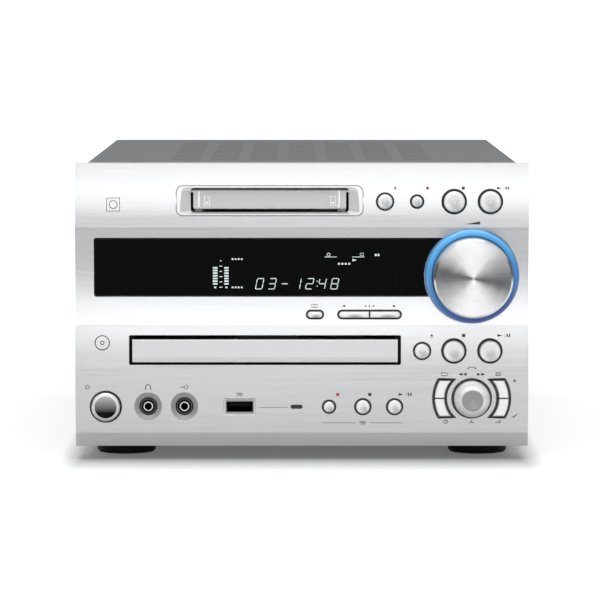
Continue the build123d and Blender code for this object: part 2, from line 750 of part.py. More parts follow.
def front_panel():
    """The brushed panel with its openings, and the flared recesses of the round sockets."""
    face = surface(SOCKET_ROW_Z)
    front = -JACK_DISH_DEPTH
    cuts = [prism(outline(ring), front, PANEL_BACK) for outline, ring, _ in all_openings()]
    cuts.append(prism(slot_outline(), front, PANEL_BACK))
    cuts.append(prism(bezel_outline(FIT / 2), front, PANEL_BACK))
    cuts.append(prism(window_outline(FIT), front, PANEL_BACK))
    cuts.append(rod(KNOB_X, KNOB_Z, RING_R + FIT, front, PANEL_BACK))
    throat = JACK_R + JACK_DISH_FLARE
    dish = [(0, face - JACK_DISH_DEPTH), (2 * JACK_DISH_R - throat, face - JACK_DISH_DEPTH),
            (throat, face + JACK_DISH_DEPTH), (throat, PANEL_BACK), (0, PANEL_BACK)]
    cuts += [turned(dish, x, SOCKET_ROW_Z) for x in (PHONES_X, LINE_IN_X)]
    frame = Pos(USB_X, SOCKET_ROW_Z) * RectangleRounded(USB_FRAME_W, USB_FRAME_H, USB_FRAME_CORNER)
    cuts.append(prism(frame, front, face + USB_FRAME_DEPTH))
    cuts.append(prism(usb_outline(), front, PANEL_BACK))
    cuts.append(prism(led_outline(), front, PANEL_BACK))
    return panel_body() - cuts


def front_frame():
    """The moulded frame behind the panel, with a tongue that the cover slips over."""
    middle = (PANEL_TOP + FOOT_H) / 2
    height = PANEL_TOP - FOOT_H
    outer = Pos(0, middle) * Rectangle(PANEL_W, height)
    inner = Pos(0, middle) * Rectangle(PANEL_W - 2 * FRAME_WALL, height - 2 * FRAME_WALL)
    ring = prism(outer - inner, PANEL_BACK, FRAME_BACK)
    tongue_half = COVER_INNER - FIT
    tongue_top = COVER_TOP - COVER_T - FIT
    opening_half = tongue_half - FRAME_FLANGE
    opening_top = tongue_top - FRAME_FLANGE
    back = block(-PANEL_W / 2, PANEL_W / 2, FRAME_BACK - FRAME_FLANGE, FRAME_BACK, FOOT_H, PANEL_TOP)
    tongue = block(-tongue_half, tongue_half, FRAME_BACK, FRAME_BACK + TONGUE,
                   FOOT_H + TONGUE_RISE, tongue_top)
    opening = block(-opening_half, opening_half, PANEL_BACK, FRAME_BACK + 2 * TONGUE,
                    FOOT_H + FRAME_WALL, opening_top)
    return ring + (back + tongue - opening)


def key_guide():
    """The black plate behind the panel, with a collar round every key."""
    gap = FRAME_WALL + FIT
    plate = block(-PANEL_W / 2 + gap, PANEL_W / 2 - gap, PANEL_BACK, GUIDE_BACK,
                  FOOT_H + gap, PANEL_TOP - gap)
    holes = []
    for outline, ring, z in all_openings():
        front = surface(z) + COLLAR_SET_BACK
        plate += prism(outline(ring - FIT / 2), front, PANEL_BACK)
        holes.append(prism(outline(KEY_PLAY), front, GUIDE_BACK))
    through = [slot_outline(), throat_outline(FIT), usb_outline(), led_outline()]
    through += [Pos(x, SOCKET_ROW_Z) * Circle(JACK_R + FIT) for x in (PHONES_X, LINE_IN_X)]
    through.append(Pos(KNOB_X, KNOB_Z) * Circle(2 * SPINDLE_R))
    through.append(Pos((DISPLAY_LEFT + DISPLAY_RIGHT) / 2, (WINDOW_LOW + WINDOW_HIGH) / 2)
                   * Rectangle(DISPLAY_RIGHT - DISPLAY_LEFT + 4 * FIT, DISPLAY_H + 4 * FIT))
    holes += [prism(sketch, PANEL_BACK, GUIDE_BACK) for sketch in through]
    boss_x = PANEL_W / 2 - BOSS_SET_IN
    boss_rows = (FOOT_H + BOSS_MARGIN, PILL_ROW_Z + BOSS_MARGIN, PANEL_TOP - BOSS_MARGIN)
    bosses = [slab(x, z, BOSS_W, BOSS_W, GUIDE_BACK, BOARD_DEPTH)
              for x in (-boss_x, boss_x) for z in boss_rows]
    return plate - holes + bosses


def control_board():
    """The circuit board behind the keys, with a switch for each key and the two encoders."""
    gap = FRAME_WALL + BOARD_GAP
    board = block(-PANEL_W / 2 + gap, PANEL_W / 2 - gap, BOARD_DEPTH, BOARD_DEPTH + BOARD_T,
                  FOOT_H + gap, PANEL_TOP - gap)
    board -= prism(slot_outline(BOARD_MARGIN), BOARD_DEPTH, BOARD_DEPTH + BOARD_T)
    board -= prism(throat_outline(BOARD_MARGIN), BOARD_DEPTH, BOARD_DEPTH + BOARD_T)
    for x in (PHONES_X, LINE_IN_X):
        board -= slab(x, SOCKET_ROW_Z, JACK_BODY_W + 2 * FIT, JACK_BODY + 2 * FIT,
                      BOARD_DEPTH, BOARD_DEPTH + BOARD_T)
    for x, z in switch_places():
        board += slab(x, z, SWITCH_W, SWITCH_W, SWITCH_FRONT, BOARD_DEPTH)
    for x, z in ((KNOB_X, KNOB_Z), (JOG_X, JOG_Z)):
        board += slab(x, z, ENCODER_W, ENCODER_W, BOARD_DEPTH - ENCODER_H, BOARD_DEPTH)
        board -= rod(x, z, SPINDLE_R + SPINDLE_CLEARANCE, GUIDE_BACK, BOARD_DEPTH + BOARD_T)
    return board


def switch_places():
    """The middle of every key, where its switch is."""
    round_places = [key[:2] for key in ROUND_KEYS.values()]
    return round_places + [key[:2] for opening in SHAPED_OPENINGS for key in opening[4].values()]


def round_key(x, z, radius, proud):
    """A turned key cap with a chamfered rim and a dished middle, a square flange and a stem."""
    front = surface(z) - proud
    seat = GUIDE_BACK + TOUCH
    cap = turned([(0, front + DISH_DEPTH), (radius * DISH_SHARE, front), (radius - CAP_CHAMFER, front),
                  (radius, front + CAP_CHAMFER), (radius, seat), (0, seat)], x, z)
    width = 2 * (radius + FLANGE_LIP)
    return cap + key_stem(Pos(x, z) * Rectangle(width, width), x, z)


def key_stem(flange, x, z):
    """The flange that keeps a key in its collar, and the stem that reaches its switch."""
    seat = GUIDE_BACK + TOUCH
    return prism(flange, seat, seat + FLANGE_T) + slab(x, z, STEM_W, STEM_W, seat, STEM_BACK)


def shaped_key(outline, opening_z, proud, x, z, half):
    """A key that fills a shaped opening, or the half of it given as a sketch."""
    front = surface(opening_z) - proud
    cap_face, flange_face = outline(), outline(FLANGE_LIP)
    if half:
        cap_face = cap_face & half
        flange_face = flange_face & half
    cap = prism(cap_face, front, GUIDE_BACK + TOUCH)
    cap = chamfer(front_edges(cap), CAP_CHAMFER)
    return cap + key_stem(flange_face, x, z)


def volume_ring():
    """The clear ring round the volume knob, lit from behind."""
    inner = KNOB_R + RING_GAP
    front = -RING_PROUD
    return turned([(inner, PANEL_BACK), (inner, front + RING_ROUND), (inner + RING_ROUND, front),
                   (RING_R - 1.5 * RING_ROUND, front), (RING_R - 0.4 * RING_ROUND, front + 0.7 * RING_ROUND),
                   (RING_R, front + 2 * RING_ROUND), (RING_R, PANEL_BACK)], KNOB_X, KNOB_Z)


def volume_knob():
    """The turned aluminium knob, recessed behind round the spindle that it is pressed on."""
    front = -KNOB_PROUD
    floor = KNOB_SKIRT_DEPTH - KNOB_RECESS
    spindle_end = BOARD_DEPTH - BOARD_T
    return turned([(0, front), (KNOB_R - KNOB_CHAMFER, front), (KNOB_R, front + KNOB_CHAMFER),
                   (KNOB_R, KNOB_SKIRT_DEPTH), (KNOB_RECESS_R, KNOB_SKIRT_DEPTH), (KNOB_RECESS_R, floor),
                   (SPINDLE_R, floor), (SPINDLE_R, spindle_end), (0, spindle_end)], KNOB_X, KNOB_Z)


def jog_dial():
    """The jog dial: a waisted knob with a dished top, on its spindle."""
    front = surface(JOG_Z) - JOG_PROUD
    skirt = GUIDE_BACK - JOG_SKIRT
    return turned([(0, front + JOG_DISH), (JOG_TOP_R - JOG_TOP_EDGE, front),
                   (JOG_TOP_R, front + JOG_TOP_EDGE / 2), (JOG_WAIST_R, front + JOG_WAIST_DROP),
                   (JOG_SHOULDER_R, front + JOG_SHOULDER_DROP), (JOG_R, front + JOG_BODY_DROP),
                   (JOG_R, skirt), (SPINDLE_R, skirt), (SPINDLE_R, jog_spindle_end()),
                   (0, jog_spindle_end())], JOG_X, JOG_Z)


def jog_spindle_end():
    return BOARD_DEPTH - 2 * BOARD_T


def jog_plunger():
    """The pusher behind the jog spindle, which moves when the dial is pressed."""
    back = BOARD_DEPTH + BOARD_T - 2 * JOG_TRAVEL
    return rod(JOG_X, JOG_Z, SPINDLE_R - FIT, jog_spindle_end() + TOUCH, back)


def display_window():
    """The smoked window with a bevelled rim, a little behind the panel's face."""
    glass = prism(window_outline(), WINDOW_FACE, PANEL_BACK)
    return chamfer(front_edges(glass), WINDOW_BEVEL)


def display_module():
    """The display's glass tube on its holder."""
    middle = (WINDOW_LOW + WINDOW_HIGH) / 2
    low, high = middle - DISPLAY_H / 2, middle + DISPLAY_H / 2
    front = PANEL_BACK + TOUCH
    inset = DISPLAY_HOLDER_IN
    glass = block(DISPLAY_LEFT, DISPLAY_RIGHT, front, front + DISPLAY_T, low, high)
    holder = block(DISPLAY_LEFT + inset, DISPLAY_RIGHT - inset, front + DISPLAY_T, BOARD_DEPTH,
                   low + inset / 2, high - inset / 2)
    return glass + holder


def led_window():
    """The light pipe of the indicator between the sockets and the keys."""
    return prism(led_outline(-FIT / 2), surface(SOCKET_ROW_Z) + TOUCH, BOARD_DEPTH)


def phone_jack(x):
    """A 3.5 mm socket: a black bush with a raised metal lip, and its body behind."""
    face = surface(SOCKET_ROW_Z) + JACK_DISH_DEPTH
    bore_end = face + JACK_BORE_L
    bush = turned([(JACK_BORE_R, face - JACK_LIP), (JACK_LIP_R, face - JACK_LIP), (JACK_LIP_R, face),
                   (JACK_R, face), (JACK_R, SWITCH_FRONT), (JACK_BORE_R, SWITCH_FRONT)], x, SOCKET_ROW_Z)
    body = slab(x, SOCKET_ROW_Z, JACK_BODY_W, JACK_BODY, SWITCH_FRONT, bore_end + JACK_END)
    ears = slab(x, SOCKET_ROW_Z, JACK_EAR_W, JACK_BODY, BOARD_DEPTH - JACK_EAR_T, BOARD_DEPTH)
    return bush + (body + ears - rod(x, SOCKET_ROW_Z, JACK_BORE_R, GUIDE_BACK, bore_end))


def usb_port():
    """The bus socket: a folded shell with a flared mouth, and the contact tongue inside."""
    mouth = surface(SOCKET_ROW_Z) + USB_FRAME_DEPTH
    z = SOCKET_ROW_Z
    outer = slab(USB_X, z, USB_W + 2 * USB_WALL, USB_H + 2 * USB_WALL, mouth, BOARD_DEPTH)
    lips = slab(USB_X, z, USB_W + 2 * USB_LIP, USB_H + 2 * USB_LIP, mouth - USB_LIP_T, mouth)
    inside = slab(USB_X, z, USB_W, USB_H, mouth - USB_LIP_T, mouth + USB_L - USB_FRAME_DEPTH)
    tongue_z = z + USB_H / 2 - USB_TONGUE_GAP - USB_TONGUE_T / 2
    tongue = slab(USB_X, tongue_z, USB_W - 2 * USB_TONGUE_GAP, USB_TONGUE_T,
                  mouth + USB_TONGUE_SET_BACK, mouth + USB_L)
    return outer + lips - inside + tongue


# Cartridge slot
def md_bezel():
    """The bezel of the cartridge slot, flush with the curved panel, scooped at both ends."""
    frame = panel_body() & prism(bezel_outline(), -TOP_BULGE, PANEL_BACK)
    frame += prism(throat_outline(), PANEL_BACK, THROAT_BACK)
    front = surface(MD_Z) - TOP_BULGE
    wide = RectangleRounded(BEZEL_W - 2 * BEZEL_RIM, BEZEL_H - BEZEL_RIM, BEZEL_CORNER - BEZEL_RIM)
    mouth = RectangleRounded(MOUTH_W, MOUTH_H, MOUTH_CORNER)
    planes = [Plane(origin=(MD_X, FRONT_Y + d, MD_Z), x_dir=(1, 0, 0), z_dir=(0, -1, 0))
              for d in (front, MOUTH_DEPTH)]
    scoop = loft([planes[1] * mouth, planes[0] * wide], ruled=True)
    throat = prism(Pos(MD_X, MD_Z) * mouth, MOUTH_DEPTH, THROAT_BACK)
    reach = MOUTH_W / 2 + DOOR_PIN_L
    pin_holes = [hinge_bar(MD_X + side * reach / 2, reach, DOOR_PIN_R + DOOR_PIN_PLAY) for side in (-1, 1)]
    return frame - scoop - throat - pin_holes


def door_hinge():
    """Height and depth of the door's hinge, in the rounded top edge of the door."""
    return DOOR_TOP - DOOR_T / 2, DOOR_DEPTH + DOOR_T / 2


def hinge_bar(x, length, radius):
    """A round bar along X on the door's hinge line."""
    hinge_z, hinge_depth = door_hinge()
    return Pos(x, FRONT_Y + hinge_depth, hinge_z) * Rot(0, 90, 0) * Cylinder(radius, length)


def md_door():
    """The spring door of the cartridge slot, hung from two pins in its rounded top edge."""
    front, back = DOOR_DEPTH, DOOR_DEPTH + DOOR_T
    points = [(front, DOOR_TOP - DOOR_T / 2), (front, DOOR_LOW + DOOR_T), (front + DOOR_T / 2, DOOR_LOW),
              (back, DOOR_LOW), (back, DOOR_TOP - DOOR_T / 2)]
    section = Pos(FRONT_Y, 0) * make_face(Polyline(*points, close=True))
    leaf = Pos(MD_X, 0, 0) * extrude(Plane.YZ * section, DOOR_W / 2, both=True)
    pins = hinge_bar(MD_X, MOUTH_W + 2 * (DOOR_PIN_L - DOOR_PIN_END_PLAY), DOOR_PIN_R)
    return leaf + hinge_bar(MD_X, DOOR_W, DOOR_T / 2) + pins


def md_holder():
    """The folded steel carrier that takes the cartridge, open to the front."""
    half = CARTRIDGE_W / 2
    back = HOLDER_DEPTH + CARTRIDGE_L
    low, top = CARTRIDGE_LOW, CARTRIDGE_LOW + CARTRIDGE_H
    outer = block(MD_X - half - HOLDER_T, MD_X + half + HOLDER_T, HOLDER_DEPTH, back + HOLDER_T,
                  low - HOLDER_T, top + HOLDER_T)
    cavity = block(MD_X - half, MD_X + half, HOLDER_DEPTH, back, low, top)
    side, back_edge = HEAD_WINDOW_W / 2, back - LENS_R
    head_window = block(MD_X - side, MD_X + side, back_edge - HEAD_WINDOW_L, back_edge, top, top + HOLDER_T)
    side, front_edge = SPINDLE_WINDOW_W / 2, HOLDER_DEPTH + SPINDLE_WINDOW_FRONT
    spindle_window = block(MD_X - side, MD_X + side, front_edge, front_edge + SPINDLE_WINDOW_L,
                           low - HOLDER_T, low)
    return outer - cavity - head_window - spindle_window


def md_chassis():
    """The steel deck above the disc mechanism, which carries the cartridge carrier."""
    half = CHASSIS_HALF_W - DECK_LEG_T
    front, back = HOLDER_DEPTH + DECK_SET_BACK, HOLDER_DEPTH + CARTRIDGE_L + DECK_BEHIND
    deck = block(CD_X - half, CD_X + half, front, back, DECK_Z, DECK_Z + DECK_T)
    for side in (-1, 1):
        for d in (front, back - DECK_LEG_L):
            outer = CD_X + side * CHASSIS_HALF_W
            leg = sorted((outer, outer - side * DECK_LEG_T))
            sole = sorted((outer, outer - side * DECK_FOOT_W))
            deck += block(*leg, d, d + DECK_LEG_L, CHASSIS_TOP, DECK_Z + DECK_T)
            deck += block(*sole, d, d + DECK_LEG_L, CHASSIS_TOP, CHASSIS_TOP + DECK_FOOT_T)
        deck += slab(MD_X + side * CARTRIDGE_W / 2, (DECK_Z + DECK_T + CARTRIDGE_LOW - HOLDER_T) / 2,
                     DECK_RAIL_W, CARTRIDGE_LOW - HOLDER_T - DECK_Z - DECK_T, front, back - DECK_BEHIND)
    motor_depth = back - DECK_LEG_L
    return deck + post(MD_X + HEAD_WINDOW_W, motor_depth, DECK_MOTOR_R, DECK_Z, DECK_Z + DECK_MOTOR_H)


# Drawer and its drive
def gear_outline(teeth, tooth_at):
    """An involute gear's outline, with one tooth centred on the angle tooth_at in degrees."""
    pitch_r = MODULE * teeth / 2
    base_r = pitch_r * math.cos(PRESSURE)

    def involute(radius):
        angle = math.acos(min(1.0, base_r / radius))
        return math.tan(angle) - angle

    half_at_pitch = math.pi / (2 * teeth) - BACKLASH / (4 * pitch_r)
    radii = (pitch_r - DEDENDUM * MODULE, pitch_r, pitch_r + ADDENDUM * MODULE)
    flank = [(r, half_at_pitch + involute(pitch_r) - involute(max(r, base_r))) for r in radii]
    points = []
    for tooth in range(teeth):
        centre = math.radians(tooth_at) + 2 * math.pi * tooth / teeth
        rising = [(r, centre - half) for r, half in flank]
        falling = [(r, centre + half) for r, half in reversed(flank)]
        points += [(r * math.cos(a), r * math.sin(a)) for r, a in rising + falling]
    return make_face(Polyline(*points, close=True))


def gear(teeth, tooth_at, x, depth, z0, z1):
    outline = gear_outline(teeth, tooth_at)
    return extrude(Pos(x, FRONT_Y + depth, z0) * outline, amount=z1 - z0)


def rack():
    """The toothed rib under the tray, with one tooth centred on the gear when the tray is in."""
    root_x = RACK_PITCH_X - DEDENDUM * MODULE
    tip_x = RACK_PITCH_X + ADDENDUM * MODULE
    half = RACK_PITCH / 4 - BACKLASH / 4
    root_half = half + DEDENDUM * MODULE * math.tan(PRESSURE)
    tip_half = half - ADDENDUM * MODULE * math.tan(PRESSURE)
    last = int((TRAY_BACK - GEAR_DEPTH - root_half) / RACK_PITCH)
    points = []
    for tooth in range(-RACK_LEAD_TEETH, last + 1):
        centre = FRONT_Y + GEAR_DEPTH + tooth * RACK_PITCH
        points += [(root_x, centre - root_half), (tip_x, centre - tip_half),
                   (tip_x, centre + tip_half), (root_x, centre + root_half)]
    points += [(root_x - RACK_RIB, points[-1][1]), (root_x - RACK_RIB, points[0][1])]
    face = make_face(Polyline(*points, close=True))
    return extrude(Pos(0, 0, TRAY_LOW - RACK_H) * face, amount=RACK_H)


def tray():
    """The moulded drawer: stepped disc seat, window for the mechanism, side rails and rack."""
    half = TRAY_W / 2
    window = TRAY_WINDOW_W / 2
    body = block(CD_X - half, CD_X + half, TRAY_FRONT, TRAY_BACK, TRAY_LOW, TRAY_TOP)
    reach = half + RAIL_W
    body += block(CD_X - reach, CD_X + reach, CHASSIS_FRONT - RAIL_W, TRAY_BACK, RAIL_LOW, RAIL_LOW + RAIL_H)
    body -= post(CD_X, DISC_DEPTH, DISC_R, DISC_FLOOR, TRAY_TOP)
    body -= post(CD_X, DISC_DEPTH, SMALL_DISC_R, DISC_FLOOR - SMALL_DISC_STEP, TRAY_TOP)
    body -= block(CD_X - window, CD_X + window, DISC_DEPTH - TRAY_WINDOW_FRONT,
                  DISC_DEPTH + DISC_R + TRAY_SIDE, TRAY_LOW, TRAY_TOP)
    body -= block(CD_X - half + TRAY_SIDE, CD_X + half - TRAY_SIDE, DISC_DEPTH + DISC_R + 2 * TRAY_SIDE,
                  TRAY_BACK - TRAY_SIDE, DISC_FLOOR, TRAY_TOP)
    return body + rack()


def tray_door():
    """The drawer's front: a flat face over a slanted lower lip."""
    low, high, edge = TRAY_DOOR_LOW, TRAY_DOOR_TOP, TRAY_DOOR_EDGE
    face, back = -TRAY_DOOR_PROUD, TRAY_DOOR_T - TRAY_DOOR_PROUD
    points = [(face + edge, high), (face, high - edge), (face, low + TRAY_DOOR_SLANT_H),
              (face + TRAY_DOOR_SLANT, low), (back, low), (back, high)]
    section = Pos(FRONT_Y, 0) * make_face(Polyline(*points, close=True))
    return Pos(CD_X, 0, 0) * extrude(Plane.YZ * section, TRAY_DOOR_W / 2, both=True)


def loading_gear():
    """Two-step gear: the wheel that the motor drives, and the small gear in the rack."""
    wheel_top = WHEEL_LOW + WHEEL_T
    step_top = TRAY_LOW - GEAR_PLAY
    step_at = 180 + 180 / STEP_TEETH
    floor = CHASSIS_FLOOR + CHASSIS_FLOOR_T
    body = gear(WHEEL_TEETH, 90, GEAR_X, GEAR_DEPTH, WHEEL_LOW, wheel_top)
    body += gear(STEP_TEETH, step_at, GEAR_X, GEAR_DEPTH, wheel_top, step_top)
    body += post(GEAR_X, GEAR_DEPTH, GEAR_POST_R + GEAR_HUB, floor + TOUCH, WHEEL_LOW)
    return body - post(GEAR_X, GEAR_DEPTH, GEAR_POST_R + TOUCH, floor, step_top)


def motor_pinion():
    """The motor's pinion, a little wider than the wheel, on the motor's shaft."""
    gap_at = 270 + 180 / MOTOR_TEETH
    low = WHEEL_LOW - GEAR_PLAY
    body = gear(MOTOR_TEETH, gap_at, GEAR_X, MOTOR_DEPTH, low, WHEEL_LOW + WHEEL_T + GEAR_PLAY)
    return body + post(GEAR_X, MOTOR_DEPTH, MOTOR_SHAFT_R, CHASSIS_FLOOR + TOUCH, low)


def loading_motor():
    """The drawer's motor under the floor, a round can with one flat side."""
    can = post(GEAR_X, MOTOR_DEPTH, MOTOR_R, CHASSIS_FLOOR - MOTOR_H, CHASSIS_FLOOR)
    return can - block(GEAR_X + MOTOR_R - MOTOR_FLAT, GEAR_X + MOTOR_R, MOTOR_DEPTH - MOTOR_R,
                       MOTOR_DEPTH + MOTOR_R, CHASSIS_FLOOR - MOTOR_H, CHASSIS_FLOOR)


def cd_chassis():
    """The drawer's frame: floor, grooved side walls, clamp bridge, gear post and legs."""
    floor_top = CHASSIS_FLOOR + CHASSIS_FLOOR_T
    back, half = CHASSIS_BACK, CHASSIS_HALF_W
    window = TRAY_WINDOW_W / 2
    body = block(CD_X - half, CD_X + half, CHASSIS_FRONT, back, CHASSIS_FLOOR, floor_top)
    body -= block(CD_X - window, CD_X + window, DISC_DEPTH - TRAY_WINDOW_FRONT, PICKUP_BACK,
                  CHASSIS_FLOOR, floor_top)
    body -= post(GEAR_X, MOTOR_DEPTH, GEAR_POST_R + GEAR_HUB, CHASSIS_FLOOR, floor_top)
    inner = TRAY_W / 2 + 2 * RAIL_PLAY
    under, over = RAIL_LOW - RAIL_PLAY, RAIL_LOW + RAIL_H + RAIL_PLAY
    for side in (-1, 1):
        wall = sorted((CD_X + side * CHASSIS_INNER, CD_X + side * half))
        step = sorted((CD_X + side * inner, CD_X + side * CHASSIS_INNER))
        body += block(*wall, CHASSIS_FRONT, back, floor_top, CHASSIS_TOP)
        body += block(*step, CHASSIS_FRONT, back, under - GUIDE_RIB_T, under)
        for d in (CHASSIS_FRONT + RAIL_W, (CHASSIS_FRONT + back) / 2, back - GUIDE_TAB_L):
            body += block(*step, d, d + GUIDE_TAB_L, over, over + GUIDE_RIB_T)
        for d in (CHASSIS_FRONT + LEG_SET_IN, back - LEG_SET_IN):
            body += post(CD_X + side * (half - LEG_SET_IN), d, LEG_R, PAN_TOP, CHASSIS_FLOOR)
    bridge_low = CHASSIS_TOP - BRIDGE_T
    body += block(CD_X - half, CD_X + half, DISC_DEPTH - BRIDGE_L / 2, DISC_DEPTH + BRIDGE_L / 2,
                  bridge_low, CHASSIS_TOP)
    body -= post(CD_X, DISC_DEPTH, CLAMP_HOLE_R, bridge_low, CHASSIS_TOP)
    return body + post(GEAR_X, GEAR_DEPTH, GEAR_POST_R, floor_top, TRAY_LOW - GEAR_PLAY)


def cd_traverse():
    """The plate under the floor with the spindle motor and the two rods of the pickup."""
    top, low = SLED_TOP, SLED_TOP - SLED_T
    front, back = DISC_DEPTH - PICKUP_INNER, PICKUP_BACK + SLED_MARGIN
    rod_front, rod_back = front + SLED_MARGIN, back - SLED_MARGIN / 2
    slot = SLED_SLOT_W / 2
    plate = block(CD_X - SLED_HALF_W, CD_X + SLED_HALF_W, front, back, low, top)
    plate -= block(CD_X - slot, CD_X + slot, DISC_DEPTH + slot, back - SLED_MARGIN, low, top)
    inset = SLED_PILLAR_R + ROD_SEAT_T
    for side in (-1, 1):
        x = CD_X + side * ROD_X
        for d in (front + inset, back - inset):
            plate += post(CD_X + side * (SLED_HALF_W - inset), d, SLED_PILLAR_R, top, CHASSIS_FLOOR)
        plate += rod(x, top + SLED_GAP / 2, ROD_R, rod_front, rod_back)
        for d in (rod_front, rod_back - ROD_SEAT_T):
            plate += block(x - ROD_SEAT_W / 2, x + ROD_SEAT_W / 2, d, d + ROD_SEAT_T,
                           top, top + SLED_GAP - PICKUP_PLAY)
    return plate + post(CD_X, DISC_DEPTH, SPINDLE_MOTOR_R, top, TURNTABLE_Z - TURNTABLE_NECK)


def turntable():
    """The platter that lifts and turns the disc, with its centring cone."""
    top, foot_z = TURNTABLE_Z + TURNTABLE_T, TURNTABLE_Z - TURNTABLE_NECK + TOUCH
    return upright([(0, foot_z), (TURNTABLE_NECK_R, foot_z), (TURNTABLE_NECK_R, TURNTABLE_Z),
                    (TURNTABLE_R, TURNTABLE_Z), (TURNTABLE_R, top), (HUB_R, top),
                    (HUB_R - HUB_H / 2, top + HUB_H), (0, top + HUB_H)], CD_X, DISC_DEPTH)


def pickup():
    """The laser carriage, which slides on the two rods."""
    front = DISC_DEPTH + PICKUP_INNER - PICKUP_L / 2
    reach = ROD_X + 2 * ROD_R
    low, high = SLED_TOP + PICKUP_PLAY, CHASSIS_FLOOR - PICKUP_PLAY
    carriage = block(CD_X - reach, CD_X + reach, front, front + PICKUP_L, low, high)
    for side in (-1, 1):
        carriage -= rod(CD_X + side * ROD_X, SLED_TOP + SLED_GAP / 2, ROD_R + TOUCH, front, front + PICKUP_L)
    half = PICKUP_HEAD_W / 2
    head = block(CD_X - half, CD_X + half, front + LENS_H, front + PICKUP_L - LENS_H, high, TURNTABLE_Z)
    return carriage + head + post(CD_X, front + PICKUP_L / 2, LENS_R, TURNTABLE_Z, TURNTABLE_Z + LENS_H)


def clamper():
    """The puck that hangs in the bridge and presses the disc on the turntable."""
    top = CHASSIS_TOP + TOUCH
    low = CHASSIS_TOP - BRIDGE_T - CLAMP_DROP
    return upright([(0, low), (CLAMP_R, low), (CLAMP_R, top), (CLAMP_FLANGE_R, top),
                    (CLAMP_FLANGE_R, top + CLAMP_FLANGE_T), (0, top + CLAMP_FLANGE_T)], CD_X, DISC_DEPTH)


# Cabinet
def vent_slots():
    """Banks of slots across the cover's top, in columns and rows."""
    column_pitch = (COVER_W - 2 * VENT_SIDE_MARGIN) / VENT_COLUMNS
    half_w = (column_pitch - VENT_COLUMN_GAP) / 2
    first = FRAME_BACK + VENT_FRONT_MARGIN
    row_pitch = (COVER_L - VENT_FRONT_MARGIN - VENT_BACK_MARGIN) / (VENT_ROWS - 1)
    slots = []
    for column in range(VENT_COLUMNS):
        x = (column - (VENT_COLUMNS - 1) / 2) * column_pitch
        for row in range(VENT_ROWS):
            d = first + row * row_pitch
            slots.append(block(x - half_w, x + half_w, d - VENT_L / 2, d + VENT_L / 2,
                               COVER_TOP - COVER_T, COVER_TOP))
    return slots


def top_cover():
    """The folded steel cover over the top and both sides, with banks of vents in its top."""
    shell = block(-COVER_W / 2, COVER_W / 2, FRAME_BACK, REAR_DEPTH, COVER_LOW, COVER_TOP)
    folds = shell.edges().filter_by(Axis.Y).group_by(Axis.Z)[-1]
    shell = fillet(folds, COVER_FOLD)
    hollow = block(-COVER_INNER, COVER_INNER, FRAME_BACK, REAR_DEPTH, COVER_LOW, COVER_TOP - COVER_T)
    return shell - hollow - vent_slots()


def base_pan():
    """The steel bottom with turned-up edges and stand-offs for the main board."""
    half = COVER_INNER - FIT
    rise = PAN_TOP + PAN_FLANGE_H
    pan = block(-half, half, FRAME_BACK, REAR_INNER, FOOT_H, PAN_TOP)
    for side in (-1, 1):
        edge = sorted((side * half, side * PAN_INNER))
        pan += block(*edge, FRAME_BACK + TONGUE + PAN_GAP, REAR_INNER, PAN_TOP, rise)
    opening_half = half - FRAME_FLANGE
    pan += block(-opening_half, opening_half, FRAME_BACK, FRAME_BACK + PAN_T, PAN_TOP, rise)
    for x in (MAIN_BOARD_LEFT + STANDOFF_W, MAIN_BOARD_RIGHT - STANDOFF_W):
        for d in (MAIN_BOARD_FRONT + STANDOFF_W, MAIN_BOARD_BACK - STANDOFF_W):
            pan += block(x - STANDOFF_W / 2, x + STANDOFF_W / 2, d - STANDOFF_W / 2, d + STANDOFF_W / 2,
                         PAN_TOP, MAIN_BOARD_Z)
    return pan


def rear_panel():
    """The flat steel back, with openings for the terminals and vents behind the heat sink."""
    half = COVER_INNER - FIT
    panel = block(-half, half, REAR_INNER, REAR_FACE, FOOT_H, COVER_TOP - COVER_T - FIT)
    cuts = [rod(x, z, RCA_R + FIT, REAR_INNER, REAR_FACE) for x, z in rca_places()]
    cuts += [rod(x, z, POST_NECK_R + FIT, REAR_INNER, REAR_FACE) for x, z in post_places()]
    cuts.append(rod(AERIAL_X, TERMINAL_Z, AERIAL_R + FIT, REAR_INNER, REAR_FACE))
    cuts.append(slab(INLET_X, INLET_Z, INLET_BODY_W + 2 * FIT, INLET_BODY_H + 2 * FIT, REAR_INNER, REAR_FACE))
    middle = MAIN_BOARD_Z + BOARD_T + SINK_H / 2
    for i in range(SINK_FINS + 1):
        x = SINK_X - SINK_W / 2 + i * SINK_W / SINK_FINS
        cuts.append(slab(x, middle, REAR_VENT_W, REAR_VENT_H, REAR_INNER, REAR_FACE))
    return panel - cuts


def foot(x, depth):
    """A round moulded foot that narrows to its sole."""
    return upright([(0, 0), (FOOT_R - FOOT_SOLE_IN, 0), (FOOT_R, FOOT_SOLE_H), (FOOT_R, FOOT_H), (0, FOOT_H)],
                   x, depth)


def feet():
    return [foot(x, depth) for x in (-FOOT_X, FOOT_X) for depth in (FOOT_FRONT, FOOT_BACK)]


def screw_head(spot, facing):
    """The head of a screw on a face that looks along facing."""
    head = Cone(SCREW_HEAD_R, SCREW_HEAD_TOP_R, SCREW_HEAD_H, align=(Align.CENTER, Align.CENTER, Align.MIN))
    return Plane(origin=spot, z_dir=facing).location * head


